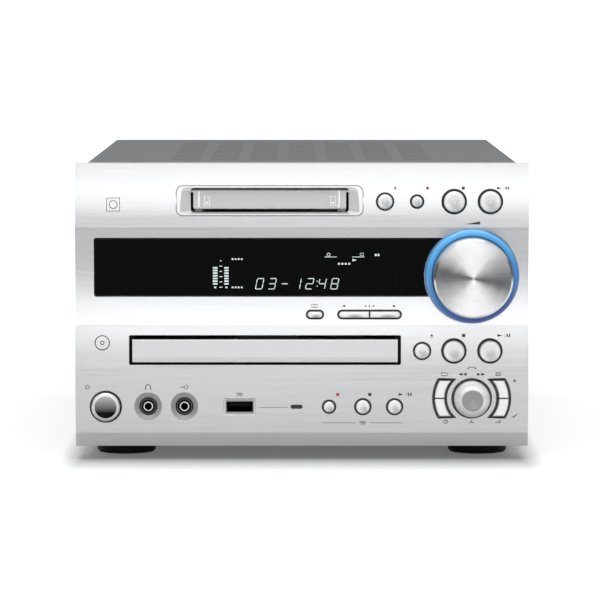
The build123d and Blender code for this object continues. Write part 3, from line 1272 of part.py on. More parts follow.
def case_screws():
    """The screws that hold the cover: two in each side, four in the back."""
    screws = []
    for side in (-1, 1):
        for depth in (FRAME_BACK + SCREW_FROM_FRONT, REAR_DEPTH - SCREW_FROM_BACK):
            spot = (side * COVER_W / 2, FRONT_Y + depth, FOOT_H + SCREW_RISE)
            screws.append(screw_head(spot, (side, 0, 0)))
        for z in (FOOT_H + SCREW_MARGIN, COVER_TOP - SCREW_MARGIN):
            spot = (side * (COVER_INNER - SCREW_MARGIN), FRONT_Y + REAR_FACE, z)
            screws.append(screw_head(spot, (0, 1, 0)))
    return screws


# Power supply and amplifier
def power_transformer():
    """The mains transformer: its core and coil on a foot plate."""
    x, d, low, high = TRANSFORMER_X, TRANSFORMER_DEPTH, PAN_TOP, PAN_TOP + TRANSFORMER_H
    half, half_l = TRANSFORMER_W / 2, TRANSFORMER_L / 2
    reach, leg = half + TRANSFORMER_FOOT_W, half_l - TRANSFORMER_LEG
    plate = block(x - reach, x + reach, d - leg, d + leg, low, low + TRANSFORMER_FOOT_T)
    core = block(x - half, x + half, d - leg, d + leg, low, high)
    coil = block(x - half + COIL_SIDE, x + half - COIL_SIDE, d - half_l, d + half_l,
                 low + COIL_LOW, high - COIL_TOP)
    return plate + core + coil


def main_board():
    """The amplifier and supply board, with its large capacitors, relay and power devices."""
    left, front, top = MAIN_BOARD_LEFT, MAIN_BOARD_FRONT, MAIN_BOARD_Z + BOARD_T
    board = block(left, MAIN_BOARD_RIGHT, front, MAIN_BOARD_BACK, MAIN_BOARD_Z, top)
    first = left + CAPACITOR_MARGIN
    row = front + CAPACITOR_MARGIN
    for x in (first, first + CAPACITOR_PITCH):
        board += post(x, row, CAPACITOR_R, top, top + CAPACITOR_H)
    chip_x = first + CAPACITOR_PITCH + PART_PITCH
    places = [(chip_x, row, CHIP_W, CHIP_W, CHIP_T), (chip_x + PART_PITCH, row, RELAY_W, RELAY_L, RELAY_H),
              (first, row + PART_PITCH, RELAY_L, RELAY_W, RELAY_H),
              (first + PART_PITCH, row + PART_PITCH, CHIP_W, CHIP_W, CHIP_T)]
    for x, d, width, length, height in places:
        board += block(x - width / 2, x + width / 2, d - length / 2, d + length / 2, top, top + height)
    return board


def heat_sink():
    """The finned extrusion that cools the amplifier."""
    low = MAIN_BOARD_Z + BOARD_T
    back = REAR_INNER - SINK_MARGIN
    root = back - SINK_FIN_L
    sink = block(SINK_X - SINK_W / 2, SINK_X + SINK_W / 2, root - SINK_PLATE_T, root, low, low + SINK_H)
    for i in range(SINK_FINS):
        x = SINK_X - SINK_W / 2 + i * (SINK_W - SINK_FIN_T) / (SINK_FINS - 1)
        sink += block(x, x + SINK_FIN_T, root, back, low, low + SINK_H)
    return sink


# Rear terminals
def post_places():
    half = POST_PITCH / 2
    return [(POST_X + sx * half, POST_Z + sz * half) for sz in (1, -1) for sx in (-1, 1)]


def speaker_post(x, z):
    """A loudspeaker terminal: a square collar, a neck through the back and a bored post."""
    end = REAR_DEPTH + POST_REACH
    plate = slab(x, z, POST_PLATE, POST_PLATE, REAR_FACE, REAR_FACE + POST_PLATE_T)
    neck = rod(x, z, POST_NECK_R, REAR_INNER - POST_INSIDE, REAR_FACE)
    return plate + neck + rod(x, z, POST_R, REAR_FACE, end) - rod(x, z, POST_BORE_R, end - POST_BORE_L, end)


def cap_outline():
    """The lobed outline of a terminal's nut, as alternating radii."""
    points = []
    for i in range(2 * POST_CAP_LOBES):
        radius = POST_CAP_R - (i % 2) * POST_CAP_GROOVE
        angle = math.pi * i / POST_CAP_LOBES
        points.append((radius * math.cos(angle), radius * math.sin(angle)))
    return make_face(Polyline(*points, close=True))


def speaker_cap(x, z):
    """The lobed nut that clamps a bare wire on its post."""
    front = REAR_FACE + POST_PLATE_T + POST_CAP_GAP
    cap = prism(Pos(x, z) * cap_outline(), front, front + POST_CAP_L)
    return cap - rod(x, z, POST_R + TOUCH, front, front + POST_CAP_L)


def rca_places():
    half = RCA_PITCH / 2
    return [(RCA_X + sx * half, TERMINAL_Z + sz * half) for sx in (-1, 1) for sz in (1, -1)]


def rca_socket(x, z):
    """A phono socket: its moulding inside the back, and a metal barrel with a bored centre."""
    end = REAR_FACE + RCA_REACH
    body = slab(x, z, RCA_BLOCK, RCA_BLOCK, REAR_INNER - RCA_INSIDE, REAR_INNER)
    return body + rod(x, z, RCA_R, REAR_INNER, end) - rod(x, z, RCA_BORE_R, end - RCA_BORE_L, end)


def aerial_socket():
    """The push-on aerial socket on its can, held by a six-sided nut outside the back."""
    end = REAR_FACE + AERIAL_REACH
    can = slab(AERIAL_X, TERMINAL_Z, AERIAL_CAN, AERIAL_CAN, REAR_INNER - AERIAL_INSIDE, REAR_INNER)
    sleeve = turned([(0, REAR_INNER), (AERIAL_R, REAR_INNER), (AERIAL_R, end - AERIAL_EDGE),
                     (AERIAL_R - AERIAL_EDGE, end), (0, end)], AERIAL_X, TERMINAL_Z)
    nut = Pos(AERIAL_X, TERMINAL_Z) * RegularPolygon(AERIAL_NUT_W / 2, 6, major_radius=False)
    return can + sleeve + prism(nut, REAR_FACE, REAR_FACE + AERIAL_NUT_T)


def ac_inlet():
    """The two-pin mains inlet, a deep oval socket with its pins."""
    end = REAR_FACE + INLET_FLANGE
    floor = end - INLET_L
    flange = slab(INLET_X, INLET_Z, INLET_FLANGE_W, INLET_FLANGE_H, REAR_FACE, end)
    body = slab(INLET_X, INLET_Z, INLET_BODY_W, INLET_BODY_H, floor - INLET_FLOOR, REAR_FACE)
    socket = prism(Pos(INLET_X, INLET_Z) * SlotOverall(INLET_W, INLET_H), floor, end)
    pins = [rod(INLET_X + side * INLET_PIN_X, INLET_Z, INLET_PIN_R, floor, floor + INLET_PIN_L)
            for side in (-1, 1)]
    return flange + body - socket + pins


def all_nodes():
    """Every piece by its node name: one solid, or a list where like pieces share a node."""
    nodes = {
        "front_panel": front_panel(), "front_frame": front_frame(), "key_guide": key_guide(),
        "control_board": control_board(), "display_window": display_window(),
        "display_module": display_module(), "volume_ring": volume_ring(), "volume_knob": volume_knob(),
        "jog_dial": jog_dial(), "jog_plunger": jog_plunger(), "usb_indicator": led_window(),
        "phone_jacks": [phone_jack(PHONES_X), phone_jack(LINE_IN_X)], "usb_port": usb_port(),
        "md_bezel": md_bezel(), "md_door": md_door(), "md_holder": md_holder(), "md_chassis": md_chassis(),
        "tray": tray(), "tray_door": tray_door(), "loading_gear": loading_gear(),
        "motor_pinion": motor_pinion(), "loading_motor": loading_motor(), "cd_chassis": cd_chassis(),
        "cd_traverse": cd_traverse(), "turntable": turntable(), "pickup": pickup(), "clamper": clamper(),
        "top_cover": top_cover(), "base_pan": base_pan(), "rear_panel": rear_panel(), "feet": feet(),
        "case_screws": case_screws(), "power_transformer": power_transformer(), "main_board": main_board(),
        "heat_sink": heat_sink(), "ac_inlet": ac_inlet(),
        "speaker_posts": [speaker_post(x, z) for x, z in post_places()],
        "rear_sockets": [rca_socket(x, z) for x, z in rca_places()] + [aerial_socket()],
    }
    for name, (x, z, radius, _, proud) in ROUND_KEYS.items():
        nodes[name] = round_key(x, z, radius, proud)
    for outline, opening_z, _, proud, keys in SHAPED_OPENINGS:
        for name, (x, z, half) in keys.items():
            nodes[name] = shaped_key(outline, opening_z, proud, x, z, half)
    for number, (x, z) in enumerate(post_places(), 1):
        nodes[f"speaker_cap_{number}"] = speaker_cap(x, z)
    return nodes


def main():
    os.makedirs("parts", exist_ok=True)
    for name, shape in all_nodes().items():
        solids = [s for piece in (shape if isinstance(shape, list) else [shape]) for s in piece.solids()]
        export_step(Compound(children=solids) if len(solids) > 1 else solids[0], f"parts/{name}.step")


main()
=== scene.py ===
import math

import bmesh
import bpy
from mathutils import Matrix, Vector
from mathutils.bvhtree import BVHTree


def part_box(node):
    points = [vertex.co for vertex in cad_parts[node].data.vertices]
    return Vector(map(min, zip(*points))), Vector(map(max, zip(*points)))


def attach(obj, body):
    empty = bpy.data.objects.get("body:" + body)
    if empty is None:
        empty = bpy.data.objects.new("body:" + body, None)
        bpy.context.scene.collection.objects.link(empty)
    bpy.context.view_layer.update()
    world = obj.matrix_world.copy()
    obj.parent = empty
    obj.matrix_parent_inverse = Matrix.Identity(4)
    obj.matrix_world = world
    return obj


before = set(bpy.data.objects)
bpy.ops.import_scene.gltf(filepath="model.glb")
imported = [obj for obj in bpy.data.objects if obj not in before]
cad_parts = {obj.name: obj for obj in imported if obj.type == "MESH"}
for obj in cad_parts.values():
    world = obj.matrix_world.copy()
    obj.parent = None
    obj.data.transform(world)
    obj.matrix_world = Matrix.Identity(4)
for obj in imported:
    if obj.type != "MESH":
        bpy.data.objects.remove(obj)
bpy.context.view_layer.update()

# Sizes are in millimetres, as in the part's source, and a depth is measured back from the front
# of the panel. point() turns them into the frame's metres.
MM = 0.001
FRONT_Y = -169.5


def point(x, depth, z):
    return Vector((x * MM, (FRONT_Y + depth) * MM, z * MM))


def sides(node):
    """The left, right, low and high side of a node's box, to a hundredth."""
    low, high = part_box(node)
    return [round(corner[axis] / MM, 2) for axis in (0, 2) for corner in (low, high)]


def middle(node):
    """The x and z of the middle of a node's box, to a hundredth."""
    low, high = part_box(node)
    return tuple(round((low[axis] + high[axis]) / 2 / MM, 2) for axis in (0, 2))


def depths(node):
    """The depths of a node's front and back, to a hundredth."""
    return tuple(round(corner[1] / MM - FRONT_Y, 2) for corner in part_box(node))


# Places on the front

KNOB_X, KNOB_Z = middle("volume_knob")
JOG_X, JOG_Z = middle("jog_dial")
POWER_X, POWER_Z = middle("power_key")
USB_X, SOCKET_Z = middle("usb_port")
JACK_PITCH = 18.4
PHONES_X = middle("phone_jacks")[0] - JACK_PITCH / 2
LINE_IN_X = middle("phone_jacks")[0] + JACK_PITCH / 2
JACKS = ((PHONES_X, SOCKET_Z), (LINE_IN_X, SOCKET_Z))
GLASS_DEPTH = depths("display_module")[0]
DOOR_DEPTH = depths("md_door")[0]

# Places on the back and the sides

REAR_FACE = depths("rear_panel")[1]
COVER_HALF_W = sides("top_cover")[1]
POSTS = [middle("speaker_cap_%d" % number) for number in range(1, 5)]
PHONO_COLUMNS = (-46.0, -30.0)
PHONO_ROWS = (120.0, 104.0)
AERIAL_X = 30.0
AERIAL_Z = 112.0
INLET_PINS = ((81.7, 32.0), (90.3, 32.0))
SCREW_HIGH = 1.7
REAR_SCREW_X = 102.1
REAR_SCREW_Z = (15.5, 142.4)
SIDE_SCREW_DEPTHS = (50.0, 300.0)
SIDE_SCREW_Z = 18.0

# Camera, lamps and sky

CAMERA_X = -0.95
CAMERA_DISTANCE = 1846.4
CAMERA_Z = 234.7
CAMERA_PITCH = 85.28
CAMERA_LENS = 219.34
CAMERA_SENSOR = 36.0
NEAREST_SEEN = 0.01
FURTHEST_SEEN = 100.0

# Each soft lamp: its place, what it is aimed at, its width and height, and its watts
LAMPS = {
    "softbox_above": ((0.0, -100.0, 1500.0), (0.0, 150.0, 60.0), (1200.0, 1200.0), 4.0),
    "softbox_high": ((0.0, -1500.0, 1750.0), (0.0, 0.0, 80.0), (1700.0, 900.0), 16.0),
    "softbox_front": ((25.0, -2000.0, 385.0), (0.0, 0.0, 90.0), (760.0, 600.0), 4.25),
}

ROOM_COLOR = (0.12, 0.122, 0.124)
SKY_COLOR = (0.85, 0.86, 0.87)
SKY_START = math.sin(math.radians(18.0))
SKY_END = math.sin(math.radians(32.0))


def add_camera():
    data = bpy.data.cameras.new("view_camera")
    data.lens = CAMERA_LENS
    data.sensor_width = CAMERA_SENSOR
    data.clip_start = NEAREST_SEEN
    data.clip_end = FURTHEST_SEEN
    camera = bpy.data.objects.new("view_camera", data)
    camera.location = point(CAMERA_X, -CAMERA_DISTANCE, CAMERA_Z)
    camera.rotation_euler = (math.radians(CAMERA_PITCH), 0.0, 0.0)
    bpy.context.scene.collection.objects.link(camera)
    bpy.context.scene.camera = camera


def add_lamp(name, place, aim, size, power):
    data = bpy.data.lights.new(name, "AREA")
    data.shape = "RECTANGLE"
    data.size = size[0] * MM
    data.size_y = size[1] * MM
    data.energy = power
    lamp = bpy.data.objects.new(name, data)
    lamp.location = point(*place)
    direction = point(*aim) - lamp.location
    lamp.rotation_euler = direction.to_track_quat("-Z", "Y").to_euler()
    lamp.visible_camera = False
    bpy.context.scene.collection.objects.link(lamp)


def add_world():
    """Grey near the horizon and pale above."""
    world = bpy.data.worlds.new("studio")
    world.use_nodes = True
    tree = world.node_tree
    places = tree.nodes.new("ShaderNodeTexCoord")
    split = tree.nodes.new("ShaderNodeSeparateXYZ")
    ranged = tree.nodes.new("ShaderNodeMapRange")
    ranged.interpolation_type = "SMOOTHSTEP"
    ranged.inputs["From Min"].default_value = SKY_START
    ranged.inputs["From Max"].default_value = SKY_END
    mix = tree.nodes.new("ShaderNodeMix")
    mix.data_type = "RGBA"
    mix.inputs[6].default_value = (*ROOM_COLOR, 1.0)
    mix.inputs[7].default_value = (*SKY_COLOR, 1.0)
    tree.links.new(places.outputs["Generated"], split.inputs[0])
    tree.links.new(split.outputs["Z"], ranged.inputs["Value"])
    tree.links.new(ranged.outputs["Result"], mix.inputs[0])
    tree.links.new(mix.outputs[2], tree.nodes["Background"].inputs["Color"])
    bpy.context.scene.world = world


def add_light():
    add_world()
    for name, settings in LAMPS.items():
        add_lamp(name, *settings)


# Shader nodes

NOISE_ROUGHNESS = 0.55


class Finish:
    """A material whose nodes are added one call at a time."""

    def __init__(self, name, color, metallic=0.0, roughness=0.5):
        self.material = bpy.data.materials.new(name)
        self.material.use_nodes = True
        self.tree = self.material.node_tree
        self.shader = self.tree.nodes["Principled BSDF"]
        self.shader.inputs["Base Color"].default_value = (*color, 1.0)
        self.shader.inputs["Metallic"].default_value = metallic
        self.shader.inputs["Roughness"].default_value = roughness
        self.material.diffuse_color = (*color, 1.0)

    def put(self, socket, value):
        self.shader.inputs[socket].default_value = value
        return self

    def node(self, kind, **settings):
        made = self.tree.nodes.new(kind)
        for name, value in settings.items():
            setattr(made, name, value)
        return made

    def link(self, source, target):
        self.tree.links.new(source, target)

    def feed(self, source, socket):
        self.link(source, self.shader.inputs[socket])
        return self

    def math(self, operation, first, second=None):
        made = self.node("ShaderNodeMath", operation=operation)
        for value, socket in ((first, made.inputs[0]), (second, made.inputs[1])):
            if value is None:
                continue
            if isinstance(value, float):
                socket.default_value = value
            else:
                self.link(value, socket)
        return made.outputs[0]

    def ranged(self, source, low, high, start=0.3, end=0.7):
        """From low to high as the source goes from start to end, and no further."""
        ranged = self.node("ShaderNodeMapRange")
        self.link(source, ranged.inputs["Value"])
        ranged.inputs["From Min"].default_value = start
        ranged.inputs["From Max"].default_value = end
        ranged.inputs["To Min"].default_value = low
        ranged.inputs["To Max"].default_value = high
        return ranged.outputs["Result"]

    def between(self, share, low, high):
        """Low where the share is 0, and high where it is 1."""
        return self.ranged(share, low, high, 0.0, 1.0)

    def mixed(self, source, low, high):
        """A colour between two colours or sockets, by a factor from 0 to 1."""
        mix = self.node("ShaderNodeMix", data_type="RGBA")
        self.link(source, mix.inputs[0])
        for value, socket in ((low, mix.inputs[6]), (high, mix.inputs[7])):
            if isinstance(value, tuple):
                socket.default_value = (*value, 1.0)
            else:
                self.link(value, socket)
        return mix.outputs[2]

    def hypotenuse(self, first, second):
        squares = self.math("ADD", self.math("MULTIPLY", first, first),
                            self.math("MULTIPLY", second, second))
        return self.math("SQRT", squares)

    def places(self):
        return self.node("ShaderNodeTexCoord").outputs["Object"]

    def axes(self):
        split = self.node("ShaderNodeSeparateXYZ")
        self.link(self.places(), split.inputs[0])
        return split.outputs

    def radius(self, x, z):
        """Distance in millimetres from a line along y through x, z."""
        axes = self.axes()
        away = self.hypotenuse(self.math("SUBTRACT", axes["X"], x * MM),
                               self.math("SUBTRACT", axes["Z"], z * MM))
        return self.math("MULTIPLY", away, 1 / MM)

    def near_any(self, places, reach):
        """1 within reach of any of the lines along y through the places, and 0 elsewhere."""
        total = None
        for x, z in places:
            inside = self.math("LESS_THAN", self.radius(x, z), reach)
            total = inside if total is None else self.math("MAXIMUM", total, inside)
        return total

    def within(self, x, z, half_w, half_h):
        """1 within a box round a line along y through x, z, and 0 elsewhere."""
        axes = self.axes()
        total = None
        for axis, centre, half in (("X", x, half_w), ("Z", z, half_h)):
            away = self.math("ABSOLUTE", self.math("SUBTRACT", axes[axis], centre * MM))
            inside = self.math("LESS_THAN", away, half * MM)
            total = inside if total is None else self.math("MULTIPLY", total, inside)
        return total

    def behind(self, depth):
        """1 further back than a depth, and 0 elsewhere."""
        return self.math("GREATER_THAN", self.axes()["Y"], (FRONT_Y + depth) * MM)

    def before(self, depth):
        return self.math("SUBTRACT", 1.0, self.behind(depth))

    def above(self, z):
        return self.math("GREATER_THAN", self.axes()["Z"], z * MM)

    def noise(self, size, detail=3.0, stretch=(1.0, 1.0, 1.0)):
        """Noise with features of that size in millimetres, drawn out along each axis."""
        mapping = self.node("ShaderNodeMapping")
        self.link(self.places(), mapping.inputs["Vector"])
        mapping.inputs["Scale"].default_value = [1.0 / (size * MM * s) for s in stretch]
        noise = self.node("ShaderNodeTexNoise")
        noise.inputs["Scale"].default_value = 1.0
        noise.inputs["Detail"].default_value = detail
        noise.inputs["Roughness"].default_value = NOISE_ROUGHNESS
        self.link(mapping.outputs["Vector"], noise.inputs["Vector"])
        return noise.outputs[0]

    def bump(self, height, distance, strength=1.0):
        bump = self.node("ShaderNodeBump")
        bump.inputs["Strength"].default_value = strength
        bump.inputs["Distance"].default_value = distance * MM
        self.link(height, bump.inputs["Height"])
        return self.feed(bump.outputs["Normal"], "Normal")


def shades(color, share):
    """A darker and a lighter version of a colour."""
    return tuple(c * (1 - share) for c in color), tuple(min(1.0, c * (1 + share)) for c in color)


# Kinds of finish

BLACK = (0.012, 0.012, 0.013)
DEEP_BLACK = (0.004, 0.004, 0.005)
METAL = (0.72, 0.71, 0.69)
SATIN_GRAIN = 0.25
SATIN_SPREAD = 0.02
SATIN_RELIEF = 0.0015
SATIN_ROUGH_SPREAD = 0.03
INK_GRAIN = 0.3
CLOUD_GRAINS = 14.0


def plain(name, color, metallic=0.0, roughness=0.5, grain=0.6, spread=0.04, relief=0.01,
          rough_spread=0.05):
    """A moulded or coated finish with a fine grain in its colour, roughness and height."""
    finish = Finish(name, color, metallic, roughness)
    noise = finish.noise(grain)
    finish.feed(finish.mixed(finish.ranged(noise, 0.0, 1.0), *shades(color, spread)),
                "Base Color")
    cloud = finish.noise(grain * CLOUD_GRAINS)
    finish.feed(finish.ranged(cloud, roughness - rough_spread, roughness + rough_spread),
                "Roughness")
    if relief:
        finish.bump(noise, relief)
    return finish


def satin(name, color, metallic, roughness, relief=SATIN_RELIEF):
    """The fine satin of the plated keys and of the silver mouldings."""
    return plain(name, color, metallic, roughness, SATIN_GRAIN, SATIN_SPREAD, relief,
                 SATIN_ROUGH_SPREAD)


def ink(name, color, roughness=0.5, spread=0.2):
    """A flat paint or ink that varies a little in colour."""
    return plain(name, color, 0.0, roughness, INK_GRAIN, spread, relief=0.0)


def masked(name, base, other, mask, metallic=(0.0, 1.0), roughness=(0.45, 0.3), shine=0.5):
    """Two finishes on one part: the other one where mask(finish) is 1."""
    finish = Finish(name, base, metallic[0], roughness[0]).put("Specular IOR Level", shine)
    share = mask(finish)
    grain = finish.ranged(finish.noise(0.5), 0.92, 1.08)
    color = finish.mixed(share, base, other)
    dim = finish.node("ShaderNodeVectorMath", operation="SCALE")
    finish.link(color, dim.inputs[0])
    finish.link(grain, dim.inputs["Scale"])
    finish.feed(dim.outputs[0], "Base Color")
    finish.feed(finish.between(share, *metallic), "Metallic")
    finish.feed(finish.between(share, *roughness), "Roughness")
    finish.bump(finish.noise(0.4), 0.006)
    return finish.material


# Finishes of the front

PANEL_COLOR = (0.49, 0.496, 0.503)
PANEL_ANISOTROPY = 0.85
DISH_R = 6.95
DISH_ROUGHNESS = 0.72
KNOB_COLOR = (0.665, 0.668, 0.672)
KNOB_RINGS = 4.0
KNOB_SWIRL = 0.04
KEY_COLOR = (0.97, 0.97, 0.975)
# A grey spot of painted shade on each key: its colour, its middle and its reach, in shares of the
# key's box
KEY_PAINTED_SHADE = (0.5, 0.505, 0.51)
KEY_METALLIC = 0.3
KEY_ROUGHNESS = 0.34
KEY_CROWN = 0.9
KEY_SHADE_SPOT = (0.56, 0.32)
KEY_SHADE_SPOT_REACH = (0.08, 0.3)
# The ring's painted light and painted shade, how far they blend, and how far the light leans to
# the left
RING_PAINTED_LIGHT = (0.1, 0.4, 0.76)
RING_PAINTED_SHADE = (0.03, 0.055, 0.25)
RING_REACH = 23.8
RING_LIGHT_TILT = 0.28
RING_GLOW = 0.34
JOG_TOP_R = 5.4
POWER_DISC_R = 5.6
JACK_LIP_R = 2.35
JACK_LIP_IN = 1.9
JACK_BUSH_R = 3.5
JACK_BUSH_SHARE = 0.13
JACK_LIP_BACK = 3.4
# Reach of the port's painted shade: half the width and height of its hollow, and the depth behind
# which all is dark
PORT_SHADE_HALF = (6.75, 2.7)
PORT_SHADE_BACK = 1.15


def panel_finish():
    """Brushed from side to side, so that what it reflects is drawn out up and down."""
    finish = Finish("panel_brushed", PANEL_COLOR, 1.0, 0.2)
    lines = finish.noise(0.22, detail=2.0, stretch=(160.0, 1.0, 1.0))
    broad = finish.noise(1.4, detail=2.0, stretch=(60.0, 1.0, 1.0))
    both = finish.math("ADD", finish.math("MULTIPLY", lines, 0.65),
                       finish.math("MULTIPLY", broad, 0.35))
    finish.feed(finish.mixed(finish.ranged(both, 0.0, 1.0, 0.38, 0.62),
                             *shades(PANEL_COLOR, 0.045)), "Base Color")
    dish = finish.near_any(JACKS, DISH_R)
    finish.feed(finish.math("MAXIMUM", finish.ranged(both, 0.2, 0.235),
                            finish.math("MULTIPLY", dish, DISH_ROUGHNESS)), "Roughness")
    finish.feed(finish.between(dish, PANEL_ANISOTROPY, 0.0), "Anisotropic")
    upright = finish.node("ShaderNodeCombineXYZ")
    upright.inputs["Z"].default_value = 1.0
    finish.feed(upright.outputs[0], "Tangent")
    finish.bump(lines, 0.004, strength=0.5)
    return finish.material


def knob_finish():
    """Turned on a lathe: fine rings about the axis, which draw reflections out radially."""
    finish = Finish("knob_spun", KNOB_COLOR, 1.0, 0.19)
    rings = finish.node("ShaderNodeTexNoise", noise_dimensions="1D")
    rings.inputs["Scale"].default_value = KNOB_RINGS
    rings.inputs["Detail"].default_value = 3.0
    finish.link(finish.radius(KNOB_X, KNOB_Z), rings.inputs["W"])
    finish.feed(finish.mixed(finish.ranged(rings.outputs[0], 0.0, 1.0),
                             *shades(KNOB_COLOR, 0.04)), "Base Color")
    finish.put("Anisotropic", 1.0)
    finish.put("Anisotropic Rotation", 0.25 + KNOB_SWIRL)
    tangent = finish.node("ShaderNodeTangent", direction_type="RADIAL", axis="Y")
    finish.feed(tangent.outputs[0], "Tangent")
    finish.bump(rings.outputs[0], 0.03)
    return finish.material


def key_finish():
    """Satin plate with a slight crown and a grey spot of painted shade, both placed by each key's
    own box.
    """
    finish = satin("key_plated", KEY_COLOR, KEY_METALLIC, KEY_ROUGHNESS, relief=0.0)
    split = finish.node("ShaderNodeSeparateXYZ")
    finish.link(finish.node("ShaderNodeTexCoord").outputs["Generated"], split.inputs[0])
    squares = []
    for axis in ("X", "Z"):
        away = finish.math("SUBTRACT", split.outputs[axis], 0.5)
        squares.append(finish.math("MULTIPLY", away, away))
    crown = finish.math("MULTIPLY", finish.math("ADD", *squares), -KEY_CROWN)
    grain = finish.math("MULTIPLY", finish.noise(SATIN_GRAIN), SATIN_RELIEF)
    finish.bump(finish.math("ADD", crown, grain), 1.0)
    away = finish.hypotenuse(finish.math("SUBTRACT", split.outputs["Z"], KEY_SHADE_SPOT[1]),
                             finish.math("SUBTRACT", split.outputs["X"], KEY_SHADE_SPOT[0]))
    finish.feed(finish.mixed(finish.ranged(away, 0.0, 1.0, *KEY_SHADE_SPOT_REACH), KEY_PAINTED_SHADE, KEY_COLOR),
                "Base Color")
    return finish.material


def front_silver(name, level):
    """The moulded silver of the two doors and of the cartridge slot's bezel."""
    return satin(name, (level, level + 0.005, level + 0.01), 0.45, 0.36).material


def window_finish():
    finish = Finish("window_smoked", (0.055, 0.062, 0.062), 0.0, 0.03)
    finish.put("Transmission Weight", 1.0)
    finish.put("IOR", 1.49)
    finish.put("Specular IOR Level", 0.08)
    finish.feed(finish.ranged(finish.noise(9.0), 0.02, 0.05), "Roughness")
    return finish.material


def ring_finish():
    """Clear ring lit from behind, with painted light and shade on its glow: pale blue above and to
    the left, deep blue below.
    """
    finish = Finish("ring_lit", RING_PAINTED_LIGHT, 0.0, 0.16)
    axes = finish.axes()
    up = finish.math("MULTIPLY", finish.math("SUBTRACT", axes["Z"], KNOB_Z * MM), 1 / MM)
    across = finish.math("MULTIPLY", finish.math("SUBTRACT", axes["X"], KNOB_X * MM),
                         -RING_LIGHT_TILT / MM)
    level = finish.math("ADD", up, across)
    cloud = finish.math("MULTIPLY", finish.noise(6.0), 3.0)
    share = finish.ranged(finish.math("ADD", level, cloud), 0.0, 1.0, -RING_REACH, RING_REACH)
    color = finish.mixed(share, RING_PAINTED_SHADE, RING_PAINTED_LIGHT)
    finish.feed(color, "Base Color")
    finish.feed(color, "Emission Color")
    finish.put("Emission Strength", RING_GLOW)
    finish.put("Coat Weight", 0.6)
    finish.put("Coat Roughness", 0.05)
    return finish.material


def jog_finish():
    """Polished silver, with the dull insert of its dished end."""
    return masked("jog_polished", (0.96, 0.96, 0.965), (0.36, 0.365, 0.37),
                  lambda f: f.near_any(((JOG_X, JOG_Z),), JOG_TOP_R), (0.2, 0.1), (0.32, 0.45))


def power_finish():
    """A rim with a painted highlight above and painted shade below, round a smoked disc with a
    painted reflection, pale above and black below.
    """
    finish = Finish("power_disc", KEY_COLOR, 0.6, 0.28)
    disc = finish.near_any(((POWER_X, POWER_Z),), POWER_DISC_R)
    up = finish.math("SUBTRACT", finish.axes()["Z"], POWER_Z * MM)

    def painted_by_height(start, end, low, high):
        """One colour up to a height over the key's middle, and another from a second height."""
        return finish.mixed(finish.ranged(up, 0.0, 1.0, start * MM, end * MM), low, high)

    # Painted light: the rim's highlight and shade, and the disc's reflection, each graded by
    # height
    rim_painted_light = painted_by_height(-6.0, 7.0, (0.42, 0.43, 0.44), (0.95, 0.95, 0.95))
    upper_painted_reflection = painted_by_height(-0.5, 5.5, (0.16, 0.165, 0.17), (0.6, 0.605, 0.61))
    smoke_painted_reflection = painted_by_height(-2.8, -0.5, (0.006, 0.006, 0.007), upper_painted_reflection)
    finish.feed(finish.mixed(disc, rim_painted_light, smoke_painted_reflection), "Base Color")
    finish.feed(finish.between(disc, 0.6, 0.0), "Metallic")
    finish.feed(finish.between(disc, 0.5, 0.03), "Specular IOR Level")
    finish.bump(finish.noise(0.4), 0.004)
    return finish.material


def jack_finish():
    """Full metal on the bright lips of the jacks, and a little outside the black bush."""
    def mask(finish):
        lip = finish.math("SUBTRACT", finish.near_any(JACKS, JACK_LIP_R),
                          finish.near_any(JACKS, JACK_LIP_IN))
        outside = finish.math("SUBTRACT", 1.0, finish.near_any(JACKS, JACK_BUSH_R))
        share = finish.math("MAXIMUM", lip, finish.math("MULTIPLY", outside, JACK_BUSH_SHARE))
        return finish.math("MULTIPLY", share, finish.before(JACK_LIP_BACK))

    return masked("jack_lips", DEEP_BLACK, METAL, mask, shine=0.12)


def port_finish():
    """A steel shell that is dark inside: painted shade in its hollow and behind its front edge."""
    def mask(finish):
        return finish.math("MAXIMUM", finish.behind(PORT_SHADE_BACK),
                           finish.within(USB_X, SOCKET_Z, *PORT_SHADE_HALF))

    return masked("port_shell", (0.36, 0.36, 0.37), DEEP_BLACK, mask, (0.6, 0.0), (0.4, 0.6),
                  shine=0.1)


# Finishes of the back and the inside

TERMINAL_BLACK = (0.014, 0.014, 0.015)
BOARD_GREEN = (0.02, 0.1, 0.045)
BOARD_PARTS = (0.03, 0.03, 0.035)
POST_METAL_R = 4.7
POST_METAL_BACK = 2.9
PHONO_METAL_BACK = 0.05
INLET_PIN_R = 1.4
CONTROL_BOARD_FACE = 15.8
MAIN_BOARD_TOP = 17.7
TRANSFORMER_DEPTH = 262.0
TRANSFORMER_CORE_HALF = 16.5

